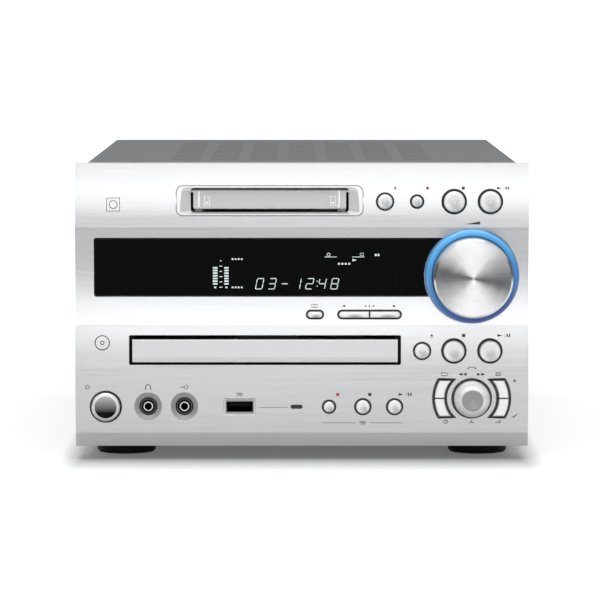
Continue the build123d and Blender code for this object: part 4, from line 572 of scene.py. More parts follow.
# Each finish with a fine grain: its colour, metallic, roughness, grain, spread of colour and
# relief, and the nodes that have it
PLAIN_FINISHES = {
    "moulded_black_grain": (BLACK, 0.0, 0.45, 0.5, 0.15, 0.012, (
        "jog_plunger", "usb_indicator", "tray", "cd_chassis", "cd_traverse", "turntable",
        "pickup", "clamper")),
    "guide_black_grain": ((0.008, 0.008, 0.009), 0.0, 0.5, 0.5, 0.15, 0.01, ("key_guide",)),
    "steel_zinc_spangle": ((0.56, 0.57, 0.56), 0.9, 0.38, 2.5, 0.07, 0.002, (
        "md_holder", "md_chassis", "base_pan")),
    "cover_grey_coat": ((0.155, 0.162, 0.168), 0.0, 0.75, 0.45, 0.05, 0.012, (
        "top_cover", "rear_panel")),
    "frame_silver_paint": ((0.6, 0.605, 0.61), 0.7, 0.4, 0.3, 0.03, 0.004, ("front_frame",)),
    "foot_black_rubber": (DEEP_BLACK, 0.0, 0.6, 0.8, 0.2, 0.01, ("feet",)),
    "gear_white_resin": ((0.78, 0.77, 0.73), 0.0, 0.4, 0.6, 0.03, 0.004, (
        "loading_gear", "motor_pinion")),
    "sink_aluminium_cast": ((0.5, 0.5, 0.51), 1.0, 0.45, 1.2, 0.05, 0.004, ("heat_sink",)),
    "screw_steel_plate": ((0.33, 0.33, 0.34), 1.0, 0.35, 0.5, 0.06, 0.003, ("case_screws",)),
    "display_tube_glass": ((0.003, 0.004, 0.004), 0.0, 0.25, 0.8, 0.3, 0.0, (
        "display_module",)),
    "motor_steel_can": ((0.6, 0.6, 0.61), 1.0, 0.3, 0.6, 0.04, 0.002, ("loading_motor",)),
    "cap_red": ((0.45, 0.012, 0.014), 0.0, 0.3, 0.4, 0.05, 0.004, (
        "speaker_cap_1", "speaker_cap_2")),
    "cap_black": (BLACK, 0.0, 0.3, 0.4, 0.15, 0.004, ("speaker_cap_3", "speaker_cap_4")),
}
DULL_FINISHES = {"cover_grey_coat": 0.15, "foot_black_rubber": 0.2, "display_tube_glass": 0.1}


def set_material(node, material):
    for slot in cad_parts[node].material_slots:
        slot.material = material


def add_plain_finishes():
    for name, (*settings, nodes) in PLAIN_FINISHES.items():
        finish = plain(name, *settings)
        if name in DULL_FINISHES:
            finish.put("Specular IOR Level", DULL_FINISHES[name])
        for node in nodes:
            set_material(node, finish.material)


def add_key_finishes():
    """Round and pill keys have one finish, and the four curved keys round the dial another."""
    round_key = key_finish()
    curved_key = satin("arc_key_plated", KEY_COLOR, KEY_METALLIC, KEY_ROUGHNESS).material
    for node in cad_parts:
        if node in ("group_key", "timer_key", "menu_key", "mode_key"):
            set_material(node, curved_key)
        elif node.endswith("_key"):
            set_material(node, round_key)
    set_material("power_key", power_finish())


def add_front_finishes():
    set_material("front_panel", panel_finish())
    set_material("volume_knob", knob_finish())
    set_material("volume_ring", ring_finish())
    set_material("display_window", window_finish())
    set_material("md_bezel", front_silver("bezel_silver", 0.9))
    set_material("md_door", front_silver("md_door_silver", 0.62))
    set_material("tray_door", front_silver("tray_door_silver", 0.75))
    set_material("jog_dial", jog_finish())
    set_material("phone_jacks", jack_finish())
    set_material("usb_port", port_finish())


def add_rear_finishes():
    set_material("speaker_posts", masked(
        "post_metal", TERMINAL_BLACK, METAL,
        lambda f: f.math("MULTIPLY", f.near_any(POSTS, POST_METAL_R),
                         f.behind(REAR_FACE + POST_METAL_BACK))))
    set_material("rear_sockets", masked(
        "socket_metal", TERMINAL_BLACK, METAL,
        lambda f: f.behind(REAR_FACE + PHONO_METAL_BACK)))
    set_material("ac_inlet", masked(
        "inlet_pins", TERMINAL_BLACK, METAL, lambda f: f.near_any(INLET_PINS, INLET_PIN_R)))


def add_board_finishes():
    """Green boards with dark parts on them, and the transformer's yellow winding."""
    parts_side = {"control_board": lambda f: f.before(CONTROL_BOARD_FACE),
                  "main_board": lambda f: f.above(MAIN_BOARD_TOP)}
    for node, mask in parts_side.items():
        set_material(node, masked(node + "_mask", BOARD_GREEN, BOARD_PARTS, mask,
                                  (0.0, 0.0), (0.4, 0.4)))

    def winding(finish):
        """1 in front of the core and behind it, and 0 on it."""
        away = finish.math("SUBTRACT", finish.axes()["Y"], (FRONT_Y + TRANSFORMER_DEPTH) * MM)
        return finish.math("GREATER_THAN", finish.math("ABSOLUTE", away),
                           TRANSFORMER_CORE_HALF * MM)

    set_material("power_transformer", masked(
        "transformer_winding", (0.25, 0.25, 0.26), (0.62, 0.5, 0.12), winding,
        (0.9, 0.0), (0.45, 0.6)))


# Thin marks on the surfaces

PRINT_PROUD = 0.02
PRINT_SUNK = 0.05
PRINT_WEIGHT = 1.35
HAIRLINE = 0.2


def on_panel_finder():
    """A function that gives the depth of the panel's face at x, z."""
    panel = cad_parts["front_panel"]
    tree = BVHTree.FromObject(panel, bpy.context.evaluated_depsgraph_get())

    def depth_at(x, z):
        hit = tree.ray_cast(point(x, -50.0, z), Vector((0.0, 1.0, 0.0)))[0]
        return (hit.y / MM - FRONT_Y) if hit else 0.0

    return depth_at


class Marks:
    """Closed thin plates drawn in x and z, laid on a surface that depth_at describes."""

    def __init__(self, name, material, depth_at, proud, sunk, body="cabinet", weight=1.0):
        self.name = name
        self.material = material
        self.depth_at = depth_at
        self.proud = proud
        self.sunk = sunk
        self.body = body
        self.weight = weight
        self.mesh = bmesh.new()

    def corner(self, x, z, front):
        depth = self.depth_at(x, z)
        return self.mesh.verts.new(point(x, depth - self.proud if front else depth + self.sunk, z))

    def polygon(self, outline):
        front = [self.corner(x, z, True) for x, z in outline]
        back = [self.corner(x, z, False) for x, z in outline]
        self.mesh.faces.new(front)
        self.mesh.faces.new(list(reversed(back)))
        for i in range(len(outline)):
            j = (i + 1) % len(outline)
            self.mesh.faces.new((front[j], front[i], back[i], back[j]))

    def rectangle(self, x, z, width, height, slant=0.0):
        lean = height / 2 * slant
        left, right = x - width / 2, x + width / 2
        low, high = z - height / 2, z + height / 2
        self.polygon(((left - lean, low), (right - lean, low),
                      (right + lean, high), (left + lean, high)))

    def triangle(self, x, z, width, height, direction):
        """Points left, right or up, with its middle at x, z."""
        half_w, half_h = width / 2, height / 2
        corners = {
            "right": ((-half_w, -half_h), (half_w, 0.0), (-half_w, half_h)),
            "left": ((half_w, -half_h), (half_w, half_h), (-half_w, 0.0)),
            "up": ((-half_w, -half_h), (half_w, -half_h), (0.0, half_h)),
        }[direction]
        self.polygon([(x + a, z + b) for a, b in corners])

    def disc(self, x, z, radius, steps=20):
        self.polygon([(x + radius * math.cos(2 * math.pi * i / steps),
                       z + radius * math.sin(2 * math.pi * i / steps)) for i in range(steps)])

    def stroke(self, points, width, closed=False):
        """A band of even width along a line."""
        count = len(points)
        rows = []
        for i, (x, z) in enumerate(points):
            before = points[i - 1] if closed or i > 0 else points[i]
            after = points[(i + 1) % count] if closed or i < count - 1 else points[i]
            along = Vector((after[0] - before[0], after[1] - before[1])).normalized()
            side = Vector((-along.y, along.x)) * width * self.weight / 2
            left, right = (x + side.x, z + side.y), (x - side.x, z - side.y)
            rows.append([self.corner(*left, True), self.corner(*right, True),
                         self.corner(*right, False), self.corner(*left, False)])
        for i in range(count if closed else count - 1):
            a, b = rows[i], rows[(i + 1) % count]
            for k in range(4):
                self.mesh.faces.new((a[k], b[k], b[(k + 1) % 4], a[(k + 1) % 4]))
        if not closed:
            self.mesh.faces.new(list(reversed(rows[0])))
            self.mesh.faces.new(rows[-1])

    def window(self, x, z, half_w, low, high, width):
        """The outline of a box that reaches from z + low to z + high."""
        self.stroke(((x - half_w, z + low), (x + half_w, z + low),
                     (x + half_w, z + high), (x - half_w, z + high)), width, True)

    def arc(self, x, z, radius, start, end, width, steps=16):
        closed = abs(end - start) >= 360
        count = steps if closed else steps + 1
        self.stroke([(x + radius * math.cos(math.radians(start + (end - start) * i / steps)),
                      z + radius * math.sin(math.radians(start + (end - start) * i / steps)))
                     for i in range(count)], width, closed)

    def circle(self, x, z, radius, width, steps):
        self.arc(x, z, radius, 0, 360, width, steps)

    def finish(self, slot):
        bmesh.ops.recalc_face_normals(self.mesh, faces=self.mesh.faces)
        data = bpy.data.meshes.new(self.name)
        self.mesh.to_mesh(data)
        self.mesh.free()
        data.materials.append(self.material)
        piece = bpy.data.objects.new(self.name, data)
        bpy.context.scene.collection.objects.link(piece)
        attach(piece, self.body)


class SideMarks(Marks):
    """Marks on a side face, drawn in depth and z: depth_at gives x there."""

    def corner(self, depth, z, front):
        x = self.depth_at(depth, z)
        out = self.proud if front else -self.sunk
        return self.mesh.verts.new(point(x + math.copysign(out, x), depth, z))


def rounded_box(left, right, low, high, corner, margin):
    """Points round a box with round corners, at a margin outside it."""
    points = []
    radius = corner + margin
    for x, z, start in ((right - corner, high - corner, 0), (left + corner, high - corner, 90),
                        (left + corner, low + corner, 180), (right - corner, low + corner, 270)):
        for step in range(7):
            angle = math.radians(start + 15 * step)
            points.append((x + radius * math.cos(angle), z + radius * math.sin(angle)))
    return points


# Signs

def eject_mark(marks, x, z, size):
    marks.triangle(x, z + 0.22 * size, size, 0.6 * size, "up")
    marks.rectangle(x, z - 0.36 * size, size, 0.18 * size)


def play_marks(marks, x, z, size):
    """Play, a stroke, and pause."""
    marks.triangle(x, z, 1.5 * size, 0.9 * size, "right")
    marks.rectangle(x + 1.6 * size, z, 0.13 * size, size, 0.35)
    for step in (2.35, 3.1):
        marks.rectangle(x + step * size, z, 0.42 * size, size)


def port_mark(marks, x, z):
    """A plug seen end on."""
    marks.window(x, z, 1.6, -0.6, 0.6, 0.22)
    marks.rectangle(x, z + 0.1, 1.9, 0.35)


def power_mark(marks, x, z):
    marks.arc(x, z, 0.95, 125, 415, 0.25)
    marks.rectangle(x, z + 0.75, 0.25, 1.1)


def headphone_mark(marks, x, z):
    marks.arc(x, z, 1.25, -20, 200, 0.28)
    for side in (-1, 1):
        marks.rectangle(x + side * 1.2, z - 0.75, 0.55, 1.0)


def line_in_mark(marks, x, z):
    """An arrow that points into a cup."""
    marks.rectangle(x - 1.2, z, 1.8, 0.28)
    marks.triangle(x + 0.1, z, 0.9, 1.1, "right")
    marks.stroke(((x + 0.2, z + 1.0), (x + 1.6, z + 1.0), (x + 1.6, z - 1.0), (x + 0.2, z - 1.0)),
                 0.25)


def volume_mark(marks, x, z):
    """A rising wedge."""
    marks.polygon(((x - 4.0, z - 0.75), (x + 4.0, z - 0.75), (x + 4.0, z + 0.75)))


def screen_mark(marks, x, z):
    marks.window(x, z, 1.6, -0.7, 0.8, 0.22)
    marks.rectangle(x, z, 1.6, 0.25)


def input_mark(marks, x, z):
    for step in (-2.0, 0.0, 2.0):
        marks.disc(x + step, z, 0.42, 12)


def turn_mark(marks, x, z):
    """A turning arrow each way."""
    marks.arc(x, z - 2.2, 2.8, 50, 130, 0.25)
    marks.triangle(x - 2.0, z, 0.9, 0.9, "left")
    marks.triangle(x + 2.0, z, 0.9, 0.9, "right")


def push_mark(marks, x, z):
    """An arrow that pushes a key down."""
    marks.rectangle(x, z - 0.55, 2.6, 0.28)
    marks.polygon(((x - 0.6, z + 0.3), (x, z - 0.3), (x + 0.6, z + 0.3)))
    marks.rectangle(x, z + 0.6, 0.3, 0.6)


def folder_mark(marks, x, z):
    marks.stroke(((x - 1.5, z - 0.8), (x + 1.5, z - 0.8), (x + 1.5, z + 0.6), (x - 0.1, z + 0.6),
                  (x - 0.5, z + 0.95), (x - 1.5, z + 0.95)), 0.24, True)


def list_mark(marks, x, z):
    for row in (-0.7, 0.0, 0.7):
        marks.rectangle(x, z + row, 3.0, 0.3)


def clock_mark(marks, x, z):
    marks.circle(x, z, 0.95, 0.22, 20)
    marks.rectangle(x, z + 0.3, 0.2, 0.6)
    marks.rectangle(x + 0.22, z, 0.5, 0.2)


def bars_mark(marks, x, z):
    for step, height in ((-1.0, 0.6), (0.0, 1.1), (1.0, 1.6)):
        marks.rectangle(x + step, z - 0.8 + height / 2, 0.5, height)


def sloping_stroke(marks, x, z, half, turn, width):
    across = half * math.cos(math.radians(turn))
    up = half * math.sin(math.radians(turn))
    marks.stroke(((x - across, z - up), (x + across, z + up)), width)


def cross_mark(marks, x, z):
    for turn in (45, -45):
        sloping_stroke(marks, x, z, 0.9, turn, 0.3)


def tick_mark(marks, x, z):
    marks.stroke(((x - 1.2, z), (x - 0.4, z - 0.7), (x + 1.2, z + 1.0)), 0.35)


def disc_mark(marks, x, z):
    marks.circle(x, z, 3.6, 0.35, 40)
    marks.circle(x, z, 0.9, 0.3, 20)


def cartridge_mark(marks, x, z):
    marks.window(x, z, 3.3, -3.3, 3.3, 0.3)
    marks.circle(x, z, 2.0, 0.25, 28)


# Printed and painted marks of the panel

DISC_SIGN = (-101.3, 60.4)
CARTRIDGE_SIGN = (-95.5, 130.6)
BUS_KEY_LINES = ((10.2, 27.3), (34.5, 51.4))
BUS_KEY_LINES_Z = 19.5
BUS_KEY_SIGN_X = 30.9
BUS_PORT_LINE = (-21.8, -7.0)
BUS_PORT_LINE_Z = 27.5
# Black rings of painted shade for the gaps round the power key and the jog dial
POWER_GAP_SHADE_R = 8.0
POWER_GAP_SHADE_WIDTH = 0.45
JOG_GAP_SHADE_R = 10.1
JOG_GAP_SHADE_WIDTH = 0.5
GAP_SHADE_STEPS = 72
PORT_HALF_W = 7.9
PORT_HALF_H = 3.95
# Radius and half height of the outer and the inner line of painted gap shade round a pair of
# curved keys
CURVED_OUT = (19.92, 10.25)
CURVED_IN = (12.66, 9.9)
CURVED_STEPS = 12
CURVED_GAP_SHADE_WIDTH = 0.36


def beside(key, right, up):
    """A place to the right of a key's middle and above it."""
    x, z = middle(key)
    return x + right, z + up


def draw_key_signs(dark, red):
    """Each sign stands up and to the right of its key."""
    eject_mark(dark, *beside("md_eject_key", 5.1, 6.8), 1.5)
    red.disc(*beside("md_record_key", 5.3, 6.8), 0.8)
    dark.rectangle(*beside("md_stop_key", 4.6, 6.8), 1.5, 1.5)
    play_marks(dark, *beside("md_play_key", 4.5, 6.8), 1.5)
    eject_mark(dark, *beside("cd_eject_key", 4.9, 7.7), 1.8)
    dark.rectangle(*beside("cd_stop_key", 5.0, 7.8), 1.7, 1.6)
    play_marks(dark, *beside("cd_play_key", 5.0, 7.8), 1.6)
    red.rectangle(*beside("usb_record_key", 4.4, 6.3), 1.5, 1.5)
    dark.rectangle(*beside("usb_stop_key", 3.5, 6.3), 1.6, 1.6)
    play_marks(dark, *beside("usb_play_key", 3.3, 6.3), 1.6)


def draw_display_key_signs(dark):
    screen_mark(dark, *beside("display_key", -0.25, 4.3))
    dark.triangle(*beside("input_left_key", -4.9, 4.3), 1.9, 1.2, "left")
    input_mark(dark, *beside("input_left_key", 8.3, 4.3))
    dark.triangle(*beside("input_right_key", 4.4, 4.3), 1.9, 1.2, "right")


def draw_socket_signs(dark):
    for left, right in BUS_KEY_LINES:
        dark.rectangle((left + right) / 2, BUS_KEY_LINES_Z, right - left, HAIRLINE)
    port_mark(dark, BUS_KEY_SIGN_X, BUS_KEY_LINES_Z)
    left, right = BUS_PORT_LINE
    dark.rectangle((left + right) / 2, BUS_PORT_LINE_Z, right - left, HAIRLINE)
    port_mark(dark, USB_X, SOCKET_Z + 6.4)
    power_mark(dark, *beside("power_key", -9.3, 10.1))
    headphone_mark(dark, PHONES_X, SOCKET_Z + 10.1)
    line_in_mark(dark, LINE_IN_X, SOCKET_Z + 10.1)


def draw_dial_signs(dark):
    """Signs over the volume knob and round the jog dial's keys."""
    volume_mark(dark, KNOB_X, KNOB_Z + 27.0)
    for side, direction in ((-1, "left"), (1, "right")):
        for step in (3.65, 5.85):
            dark.triangle(JOG_X + side * step, JOG_Z + 12.3, 2.1, 1.6, direction)
    turn_mark(dark, JOG_X, JOG_Z + 15.4)
    push_mark(dark, JOG_X, JOG_Z - 12.0)
    folder_mark(dark, JOG_X - 13.85, JOG_Z + 12.4)
    list_mark(dark, JOG_X + 13.45, JOG_Z + 12.4)
    clock_mark(dark, JOG_X - 13.15, JOG_Z - 12.0)
    bars_mark(dark, JOG_X + 13.45, JOG_Z - 12.0)
    cross_mark(dark, JOG_X + 21.75, JOG_Z + 9.0)
    tick_mark(dark, JOG_X + 21.75, JOG_Z - 9.1)


def draw_gap_shade(marks):
    """Black edges painted round the power key, the jog dial and its four keys, as painted shade of
    the gaps round them.
    """
    marks.circle(POWER_X, POWER_Z, POWER_GAP_SHADE_R, POWER_GAP_SHADE_WIDTH, GAP_SHADE_STEPS)
    marks.circle(JOG_X, JOG_Z, JOG_GAP_SHADE_R, JOG_GAP_SHADE_WIDTH, GAP_SHADE_STEPS)
    steps = range(-CURVED_STEPS, CURVED_STEPS + 1)
    for side in (-1, 1):
        outline = []
        for (radius, top), turns in ((CURVED_OUT, steps), (CURVED_IN, reversed(steps))):
            reach = math.asin(top / radius)
            for turn in turns:
                angle = reach * turn / CURVED_STEPS
                outline.append((JOG_X + side * radius * math.cos(angle),
                                JOG_Z + radius * math.sin(angle)))
        marks.stroke(outline, CURVED_GAP_SHADE_WIDTH, True)


def add_panel_marks():
    depth_at = on_panel_finder()
    dark = Marks("panel_marks", ink("ink_grey", (0.02, 0.021, 0.023)).material, depth_at,
                 2 * PRINT_PROUD, PRINT_SUNK, weight=PRINT_WEIGHT)
    red = Marks("panel_marks_red", ink("ink_red", (0.55, 0.045, 0.04), spread=0.1).material,
                depth_at, PRINT_PROUD, PRINT_SUNK)
    draw_key_signs(dark, red)
    draw_display_key_signs(dark)
    draw_socket_signs(dark)
    draw_dial_signs(dark)
    disc_mark(dark, *DISC_SIGN)
    cartridge_mark(dark, *CARTRIDGE_SIGN)
    dark.finish("guide_black")
    red.finish("guide_black")
    # Black ink round the keys and the dial: painted shade of their gaps
    gap_shade_ink = ink("gap_shade_black", (0.006, 0.006, 0.007), 0.6).put("Specular IOR Level", 0.1)
    edges = Marks("panel_painted_gap_shade", gap_shade_ink.material, depth_at, 3 * PRINT_PROUD, PRINT_SUNK)
    draw_gap_shade(edges)
    edges.finish("guide_black")
    # A grey line round the cartridge bezel: painted shade of the gap between bezel and panel
    painted_seam_shade = Marks("bezel_seam_painted_shade", ink("seam_shade_grey", (0.13, 0.133, 0.136), 0.6, 0.1).material,
                 depth_at, 2 * PRINT_PROUD, PRINT_SUNK)
    painted_seam_shade.stroke(rounded_box(*sides("md_bezel"), corner=3.0, margin=0.3), 0.3, True)
    painted_seam_shade.finish("guide_black")
    # A pale line round the port: a painted highlight on the edge of its hole
    rim_painted_light = Marks("port_rim_highlight", ink("rim_highlight_pale", (0.9, 0.905, 0.91), spread=0.03).material,
                depth_at, 2 * PRINT_PROUD, PRINT_SUNK)
    rim_painted_light.stroke(rounded_box(USB_X - PORT_HALF_W, USB_X + PORT_HALF_W, SOCKET_Z - PORT_HALF_H,
                           SOCKET_Z + PORT_HALF_H, corner=0.6, margin=0.2), 0.45, True)
    rim_painted_light.finish("panel_aluminium")


# Ribs of the cartridge door

DOOR_RIBS_X = (-52.2, 18.9)
DOOR_RIBS_Z = 133.1
DOOR_FRAMES_X = (-48.1, 15.8)
DOOR_FRAMES_Z = 131.3


def add_door_marks():
    """Two ribs and two small raised frames near the ends of the cartridge door."""
    finish = plain("door_marks_plated", KEY_COLOR, 0.75, 0.25, SATIN_GRAIN, SATIN_SPREAD, 0.0)
    marks = Marks("door_marks", finish.material, lambda x, z: DOOR_DEPTH, 0.22, 0.2, "md_door")
    for x in DOOR_RIBS_X:
        marks.rectangle(x, DOOR_RIBS_Z, 0.7, 8.0)
    for x in DOOR_FRAMES_X:
        marks.window(x, DOOR_FRAMES_Z, 1.2, -1.4, 3.1, 0.35)
        marks.rectangle(x, DOOR_FRAMES_Z, 0.9, 0.9)
    marks.finish("key_silver")


# Lit marks of the display tube

LIT_PROUD = 0.03
LIT_SUNK = 0.08
LIT_STRENGTH = 15.0
DIGITS = "03-1248"
DIGITS_X = -23.6
DIGITS_Z = 87.5
DIGIT_W = 3.3
DIGIT_H = 5.3
DIGIT_PITCH = 6.35
DIGIT_LINE = 0.42
DIGIT_SLANT = 0.2
DIGIT_GAP = 0.18
COLON_PLACE = 4.93
COLON_Z = (89.0, 91.4)
SEGMENTS = {
    "0": "abcdef", "1": "bc", "2": "abged", "3": "abgcd", "4": "fgbc", "8": "abcdefg", "-": "g",
}
# Ends of each segment, in widths of the digit across and in half heights of it up
SEGMENT_ENDS = {
    "a": ((0, 2), (1, 2)), "b": ((1, 2), (1, 1)), "c": ((1, 1), (1, 0)), "d": ((0, 0), (1, 0)),
    "e": ((0, 1), (0, 0)), "f": ((0, 2), (0, 1)), "g": ((0, 1), (1, 1)),
}
METERS = ((-44.0, 2.4), (-38.3, 2.2))
METER_ROWS = 7
METER_Z = 90.1
METER_PITCH = 1.36
SCALE_X = -41.15
SCALE_Z = 88.4
SCALE_PITCH = 2.68
SCALE_WIDTHS = (1.5, 1.3, 1.5, 1.3, 1.5, 0.8)
WORDS_X = -35.2
LOW_WORDS_Z = 88.3
HIGH_WORDS_Z = 102.7
# Small signs over the digits: the x and z of each one's middle, or of its first bar's
UNDERLINES = ((14.6, 103.8), (28.7, 103.8))
RING_SIGN = (13.6, 105.0)
BOX_SIGN = (30.4, 105.05)
ARROW_SIGN = (26.8, 102.2)
DOTS_SIGN = (18.8, 100.3)
BARS_SIGN = (37.5, 104.8)


def draw_digit(marks, digit, x, z):
    """One sloping character of straight segments, with its lower left corner at x, z."""
    for segment in SEGMENTS[digit]:
        points = []
        start, end = SEGMENT_ENDS[segment]
        for (across, up), (next_across, next_up) in ((start, end), (end, start)):
            right = across * DIGIT_W + DIGIT_GAP * (next_across - across)
            high = up * DIGIT_H / 2 + DIGIT_GAP * (next_up - up)
            points.append((x + right + high * DIGIT_SLANT, z + high))
        marks.stroke(points, DIGIT_LINE)


def draw_track_and_time(marks):
    for i, digit in enumerate(DIGITS):
        draw_digit(marks, digit, DIGITS_X + i * DIGIT_PITCH, DIGITS_Z)
    for z in COLON_Z:
        marks.rectangle(DIGITS_X + COLON_PLACE * DIGIT_PITCH, z, 0.5, 0.5)


def draw_level_meters(marks):
    """Two columns of bars, with the lines of a scale between them."""
    for row in range(METER_ROWS):
        for x, width in METERS:
            marks.rectangle(x, METER_Z + row * METER_PITCH, width, 0.82)
    for row, width in enumerate(SCALE_WIDTHS):
        marks.rectangle(SCALE_X, SCALE_Z + row * SCALE_PITCH, width, 0.42)
    for x, _ in METERS:
        marks.rectangle(x, LOW_WORDS_Z, 1.1, 0.75)


def draw_row(marks, x, z, count, pitch, width, height):
    """Even bars side by side, the first with its middle at x, z."""
    for step in range(count):
        marks.rectangle(x + step * pitch, z, width, height)


def draw_small_words(marks):
    """Dashes, dots and outlines where such a tube shows small words."""
    for z in (HIGH_WORDS_Z, LOW_WORDS_Z):
        draw_row(marks, WORDS_X, z, 4, 1.55, 0.95, 0.8)
    for x, z in UNDERLINES:
        marks.rectangle(x, z, 6.2, 0.32)
    marks.circle(*RING_SIGN, 0.75, 0.3, 16)
    marks.window(*BOX_SIGN, 0.8, -0.65, 0.65, 0.3)
    marks.triangle(*ARROW_SIGN, 2.3, 1.35, "right")
    draw_row(marks, *DOTS_SIGN, 4, 1.75, 1.1, 0.85)
    draw_row(marks, *BARS_SIGN, 2, 1.4, 0.95, 1.1)


def add_display_marks():
    lit = Finish("segment_lit", (0.7, 0.75, 0.74), 0.0, 0.5)
    flicker = lit.ranged(lit.noise(0.5), 0.0, 1.0)
    lit.feed(lit.mixed(flicker, (0.92, 0.98, 0.95), (1.0, 1.0, 0.98)), "Emission Color")
    lit.put("Emission Strength", LIT_STRENGTH)
    marks = Marks("display_segments", lit.material, lambda x, z: GLASS_DEPTH, LIT_PROUD, LIT_SUNK)
    draw_track_and_time(marks)
    draw_level_meters(marks)
    draw_small_words(marks)
    marks.finish("display_tube")


# Screw slots, collars and signs on the back and the sides

# A mark on the back is sunk towards the front, so there Marks gets its sunk depth first
SLOT_TURNS = (30, 120)
SLOT_HALF = 1.25
SLOT_WIDTH = 0.5
SLOT_SUNK = 0.1
SLOT_PROUD = 0.015
COLLAR_R = 5.05
COLLAR_WIDTH = 1.6
COLLAR_SUNK = 0.05
COLLAR_PROUD = 0.8
BACK_LINE = 0.4
BACK_INK_SUNK = 0.02
BACK_INK_PROUD = 0.03
POST_SIGN_RIGHT = 14.0
POST_SIGN_SIDE = 3.2
POST_SIGN_LINE = 0.6
PHONO_SIGN_UP = 13.0
AERIAL_RING_R = 9.5
POSTS_FRAME = (-101.0, -53.0, 18.5, 61.5)
PHONO_FRAME = (-54.5, -21.5, 95.5, 130.5)


def add_screw_slots():
    """The crossed slots in the heads of the cover's screws, drawn in near black as painted shade
    in the slots.
    """
    slot_painted_shade = ink("slot_shade_dark", (0.01, 0.01, 0.011), 0.6).material
    back = Marks("slots_back", slot_painted_shade, lambda x, z: REAR_FACE + SCREW_HIGH, SLOT_SUNK, SLOT_PROUD)
    for side in (-1, 1):
        for z in REAR_SCREW_Z:
            for turn in SLOT_TURNS:
                sloping_stroke(back, side * REAR_SCREW_X, z, SLOT_HALF, turn, SLOT_WIDTH)
        flank = SideMarks("slots_left" if side < 0 else "slots_right", slot_painted_shade,
                          lambda depth, z, s=side: s * (COVER_HALF_W + SCREW_HIGH),
                          SLOT_PROUD, SLOT_SUNK)
        for depth in SIDE_SCREW_DEPTHS:
            for turn in SLOT_TURNS:
                sloping_stroke(flank, depth, SIDE_SCREW_Z, SLOT_HALF, turn, SLOT_WIDTH)
        flank.finish("screw_steel")
    back.finish("screw_steel")


def add_collars():
    """Collars round the phono sockets, white above and red below."""
    white = plain("collar_white", (0.8, 0.8, 0.78), 0.0, 0.4, 0.4, 0.03, 0.003).material
    red = plain("collar_red", (0.5, 0.015, 0.017), 0.0, 0.4, 0.4, 0.05, 0.003).material
    for name, material, z in (("collars_upper", white, PHONO_ROWS[0]),
                              ("collars_lower", red, PHONO_ROWS[1])):
        collar = Marks(name, material, lambda x, z: REAR_FACE, COLLAR_SUNK, COLLAR_PROUD)
        for x in PHONO_COLUMNS:
            collar.circle(x, z, COLLAR_R, COLLAR_WIDTH, 36)
        collar.finish("terminal_black")


def add_rear_marks():
    """Plain signs printed on the back: plus and minus, frames, arrows and a ring."""
    pale = ink("ink_pale", (0.62, 0.62, 0.62), spread=0.05).material
    signs = Marks("rear_marks", pale, lambda x, z: REAR_FACE, BACK_INK_SUNK, BACK_INK_PROUD)
    sign_x = POSTS[1][0] + POST_SIGN_RIGHT
    for z in (POSTS[0][1], POSTS[2][1]):
        signs.rectangle(sign_x, z, POST_SIGN_SIDE, POST_SIGN_LINE)
    signs.rectangle(sign_x, POSTS[0][1], POST_SIGN_LINE, POST_SIGN_SIDE)
    for edges in (POSTS_FRAME, PHONO_FRAME):
        signs.stroke(rounded_box(*edges, corner=1.5, margin=0.0), BACK_LINE, True)
    for x in PHONO_COLUMNS:
        signs.triangle(x, PHONO_ROWS[0] + PHONO_SIGN_UP, 2.6, 2.2, "up")
    signs.circle(AERIAL_X, AERIAL_Z, AERIAL_RING_R, BACK_LINE, 48)
    signs.finish("cover_grey")


# Floor, wall and the dark cloth

FLOOR_SIDE = 12000.0
FLOOR_FRONT = 6000.0
FLOOR_BACK = 3000.0
WALL_HEIGHT = 2600.0
WALL_BEND = 900.0
WALL_STEPS = 16
FLOOR_COLOR = (0.45, 0.45, 0.45)
# The painted shadow's core is a rectangle, and it fades out over these distances beyond its edges
SHADOW_HALF_W = 112.0
SHADOW_HALF_D = 168.0
SHADOW_SIDE_REACH = 12.0
SHADOW_END_REACH = 46.0
# Glow of the paper under the object, kept low there as a painted shadow, round it, and added
# towards the wall
PAINTED_SHADOW_LIFT = 0.115
FLOOR_LIFT = 0.64
WALL_LIFT = 0.35
FADE_START = 400.0
FADE_END = 820.0


def floor_finish():
    """White paper that camera, metal and glass see as plain white away from the shadow, with its
    glow lowered round the object as a painted shadow.
    """
    finish = Finish("floor_paper", FLOOR_COLOR, 0.0, 0.9)
    finish.put("Specular IOR Level", 0.0)
    axes = finish.axes()
    outside = []
    for axis, half, reach in (("X", SHADOW_HALF_W, SHADOW_SIDE_REACH),
                              ("Y", SHADOW_HALF_D, SHADOW_END_REACH)):
        beyond = finish.math("SUBTRACT", finish.math("ABSOLUTE", axes[axis]), half * MM)
        share = finish.math("DIVIDE", beyond, reach * MM)
        outside.append(finish.math("MAXIMUM", share, 0.0))
    near = finish.between(finish.hypotenuse(*outside), PAINTED_SHADOW_LIFT, FLOOR_LIFT)
    far = finish.ranged(axes["Y"], 0.0, WALL_LIFT, FADE_START * MM, FADE_END * MM)
    lift = finish.math("ADD", near, far)
    path = finish.node("ShaderNodeLightPath")
    seen = finish.math("MAXIMUM", path.outputs["Is Camera Ray"],
                       finish.math("MAXIMUM", path.outputs["Is Glossy Ray"],
                                   path.outputs["Is Transmission Ray"]))
    finish.feed(finish.math("MULTIPLY", lift, seen), "Emission Strength")
    finish.put("Emission Color", (1.0, 1.0, 1.0, 1.0))
    finish.material.cycles.emission_sampling = "NONE"
    return finish.material


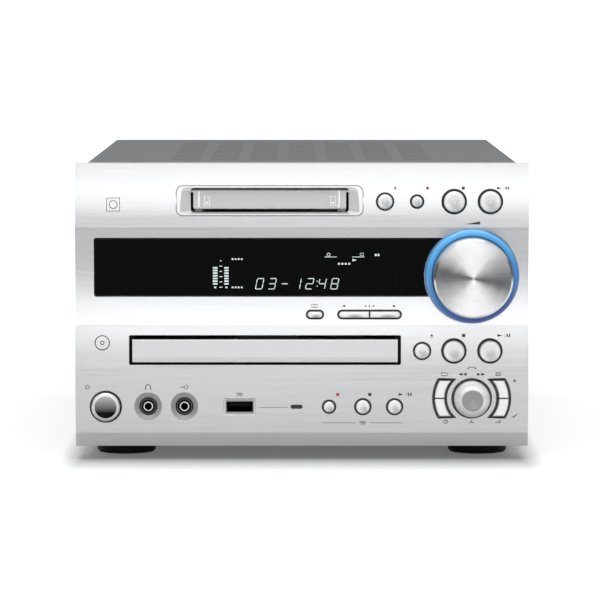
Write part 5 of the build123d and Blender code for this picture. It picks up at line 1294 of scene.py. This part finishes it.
def add_room():
    """The floor bends up into a wall far behind the object."""
    rows = [(-FLOOR_FRONT, 0.0), (0.0, 0.0), (FLOOR_BACK, 0.0)]
    for i in range(1, WALL_STEPS + 1):
        turn = math.pi / 2 * i / WALL_STEPS
        rows.append((FLOOR_BACK + WALL_BEND * math.sin(turn), WALL_BEND * (1 - math.cos(turn))))
    rows.append((FLOOR_BACK + WALL_BEND, WALL_HEIGHT))
    room = bmesh.new()
    strips = [[room.verts.new(point(x, depth, z)) for x in (-FLOOR_SIDE / 2, FLOOR_SIDE / 2)]
              for depth, z in rows]
    for a, b in zip(strips, strips[1:]):
        room.faces.new((a[0], a[1], b[1], b[0]))
    data = bpy.data.meshes.new("studio_floor")
    room.to_mesh(data)
    room.free()
    floor = bpy.data.objects.new("studio_floor", data)
    bpy.context.scene.collection.objects.link(floor)
    data.materials.append(floor_finish())


def flag_finish():
    """Dark cloth that is clear near the object and fades in further out."""
    cloth = Finish("flag_cloth", ROOM_COLOR)
    axes = cloth.axes()
    ahead = cloth.math("SUBTRACT", cloth.math("MULTIPLY", axes["Y"], -1.0), SHADOW_HALF_D * MM)
    aside = cloth.math("SUBTRACT", cloth.math("ABSOLUTE", axes["X"]), 2 * SHADOW_HALF_W * MM)
    share = cloth.ranged(cloth.math("MAXIMUM", ahead, aside), 0.0, 1.0,
                         FADE_START * MM, FADE_END * MM)
    glow = cloth.node("ShaderNodeEmission")
    glow.inputs["Color"].default_value = (*ROOM_COLOR, 1.0)
    mix = cloth.node("ShaderNodeMixShader")
    cloth.link(share, mix.inputs[0])
    cloth.link(cloth.node("ShaderNodeBsdfTransparent").outputs[0], mix.inputs[1])
    cloth.link(glow.outputs[0], mix.inputs[2])
    cloth.link(mix.outputs[0], cloth.tree.nodes["Material Output"].inputs["Surface"])
    cloth.material.cycles.emission_sampling = "NONE"
    return cloth.material


def add_flag():
    """A dark cloth on the floor in front, outside the picture, that only reflections show."""
    data = bpy.data.meshes.new("studio_flag")
    side, back, front = FLOOR_SIDE / 2, 2 * SHADOW_HALF_D, -FLOOR_FRONT
    corners = [point(x, depth, 1.0) for x, depth in ((-side, front), (side, front),
                                                     (side, back), (-side, back))]
    data.from_pydata(corners, [], [(0, 1, 2, 3)])
    data.materials.append(flag_finish())
    flag = bpy.data.objects.new("studio_flag", data)
    bpy.context.scene.collection.objects.link(flag)
    flag.visible_camera = False
    flag.visible_diffuse = False
    flag.visible_shadow = False


bpy.context.scene.view_settings.view_transform = "Standard"
add_camera()
add_room()
add_flag()
add_light()
add_plain_finishes()
add_key_finishes()
add_front_finishes()
add_rear_finishes()
add_board_finishes()
add_panel_marks()
add_display_marks()
add_door_marks()
add_screw_slots()
add_collars()
add_rear_marks()
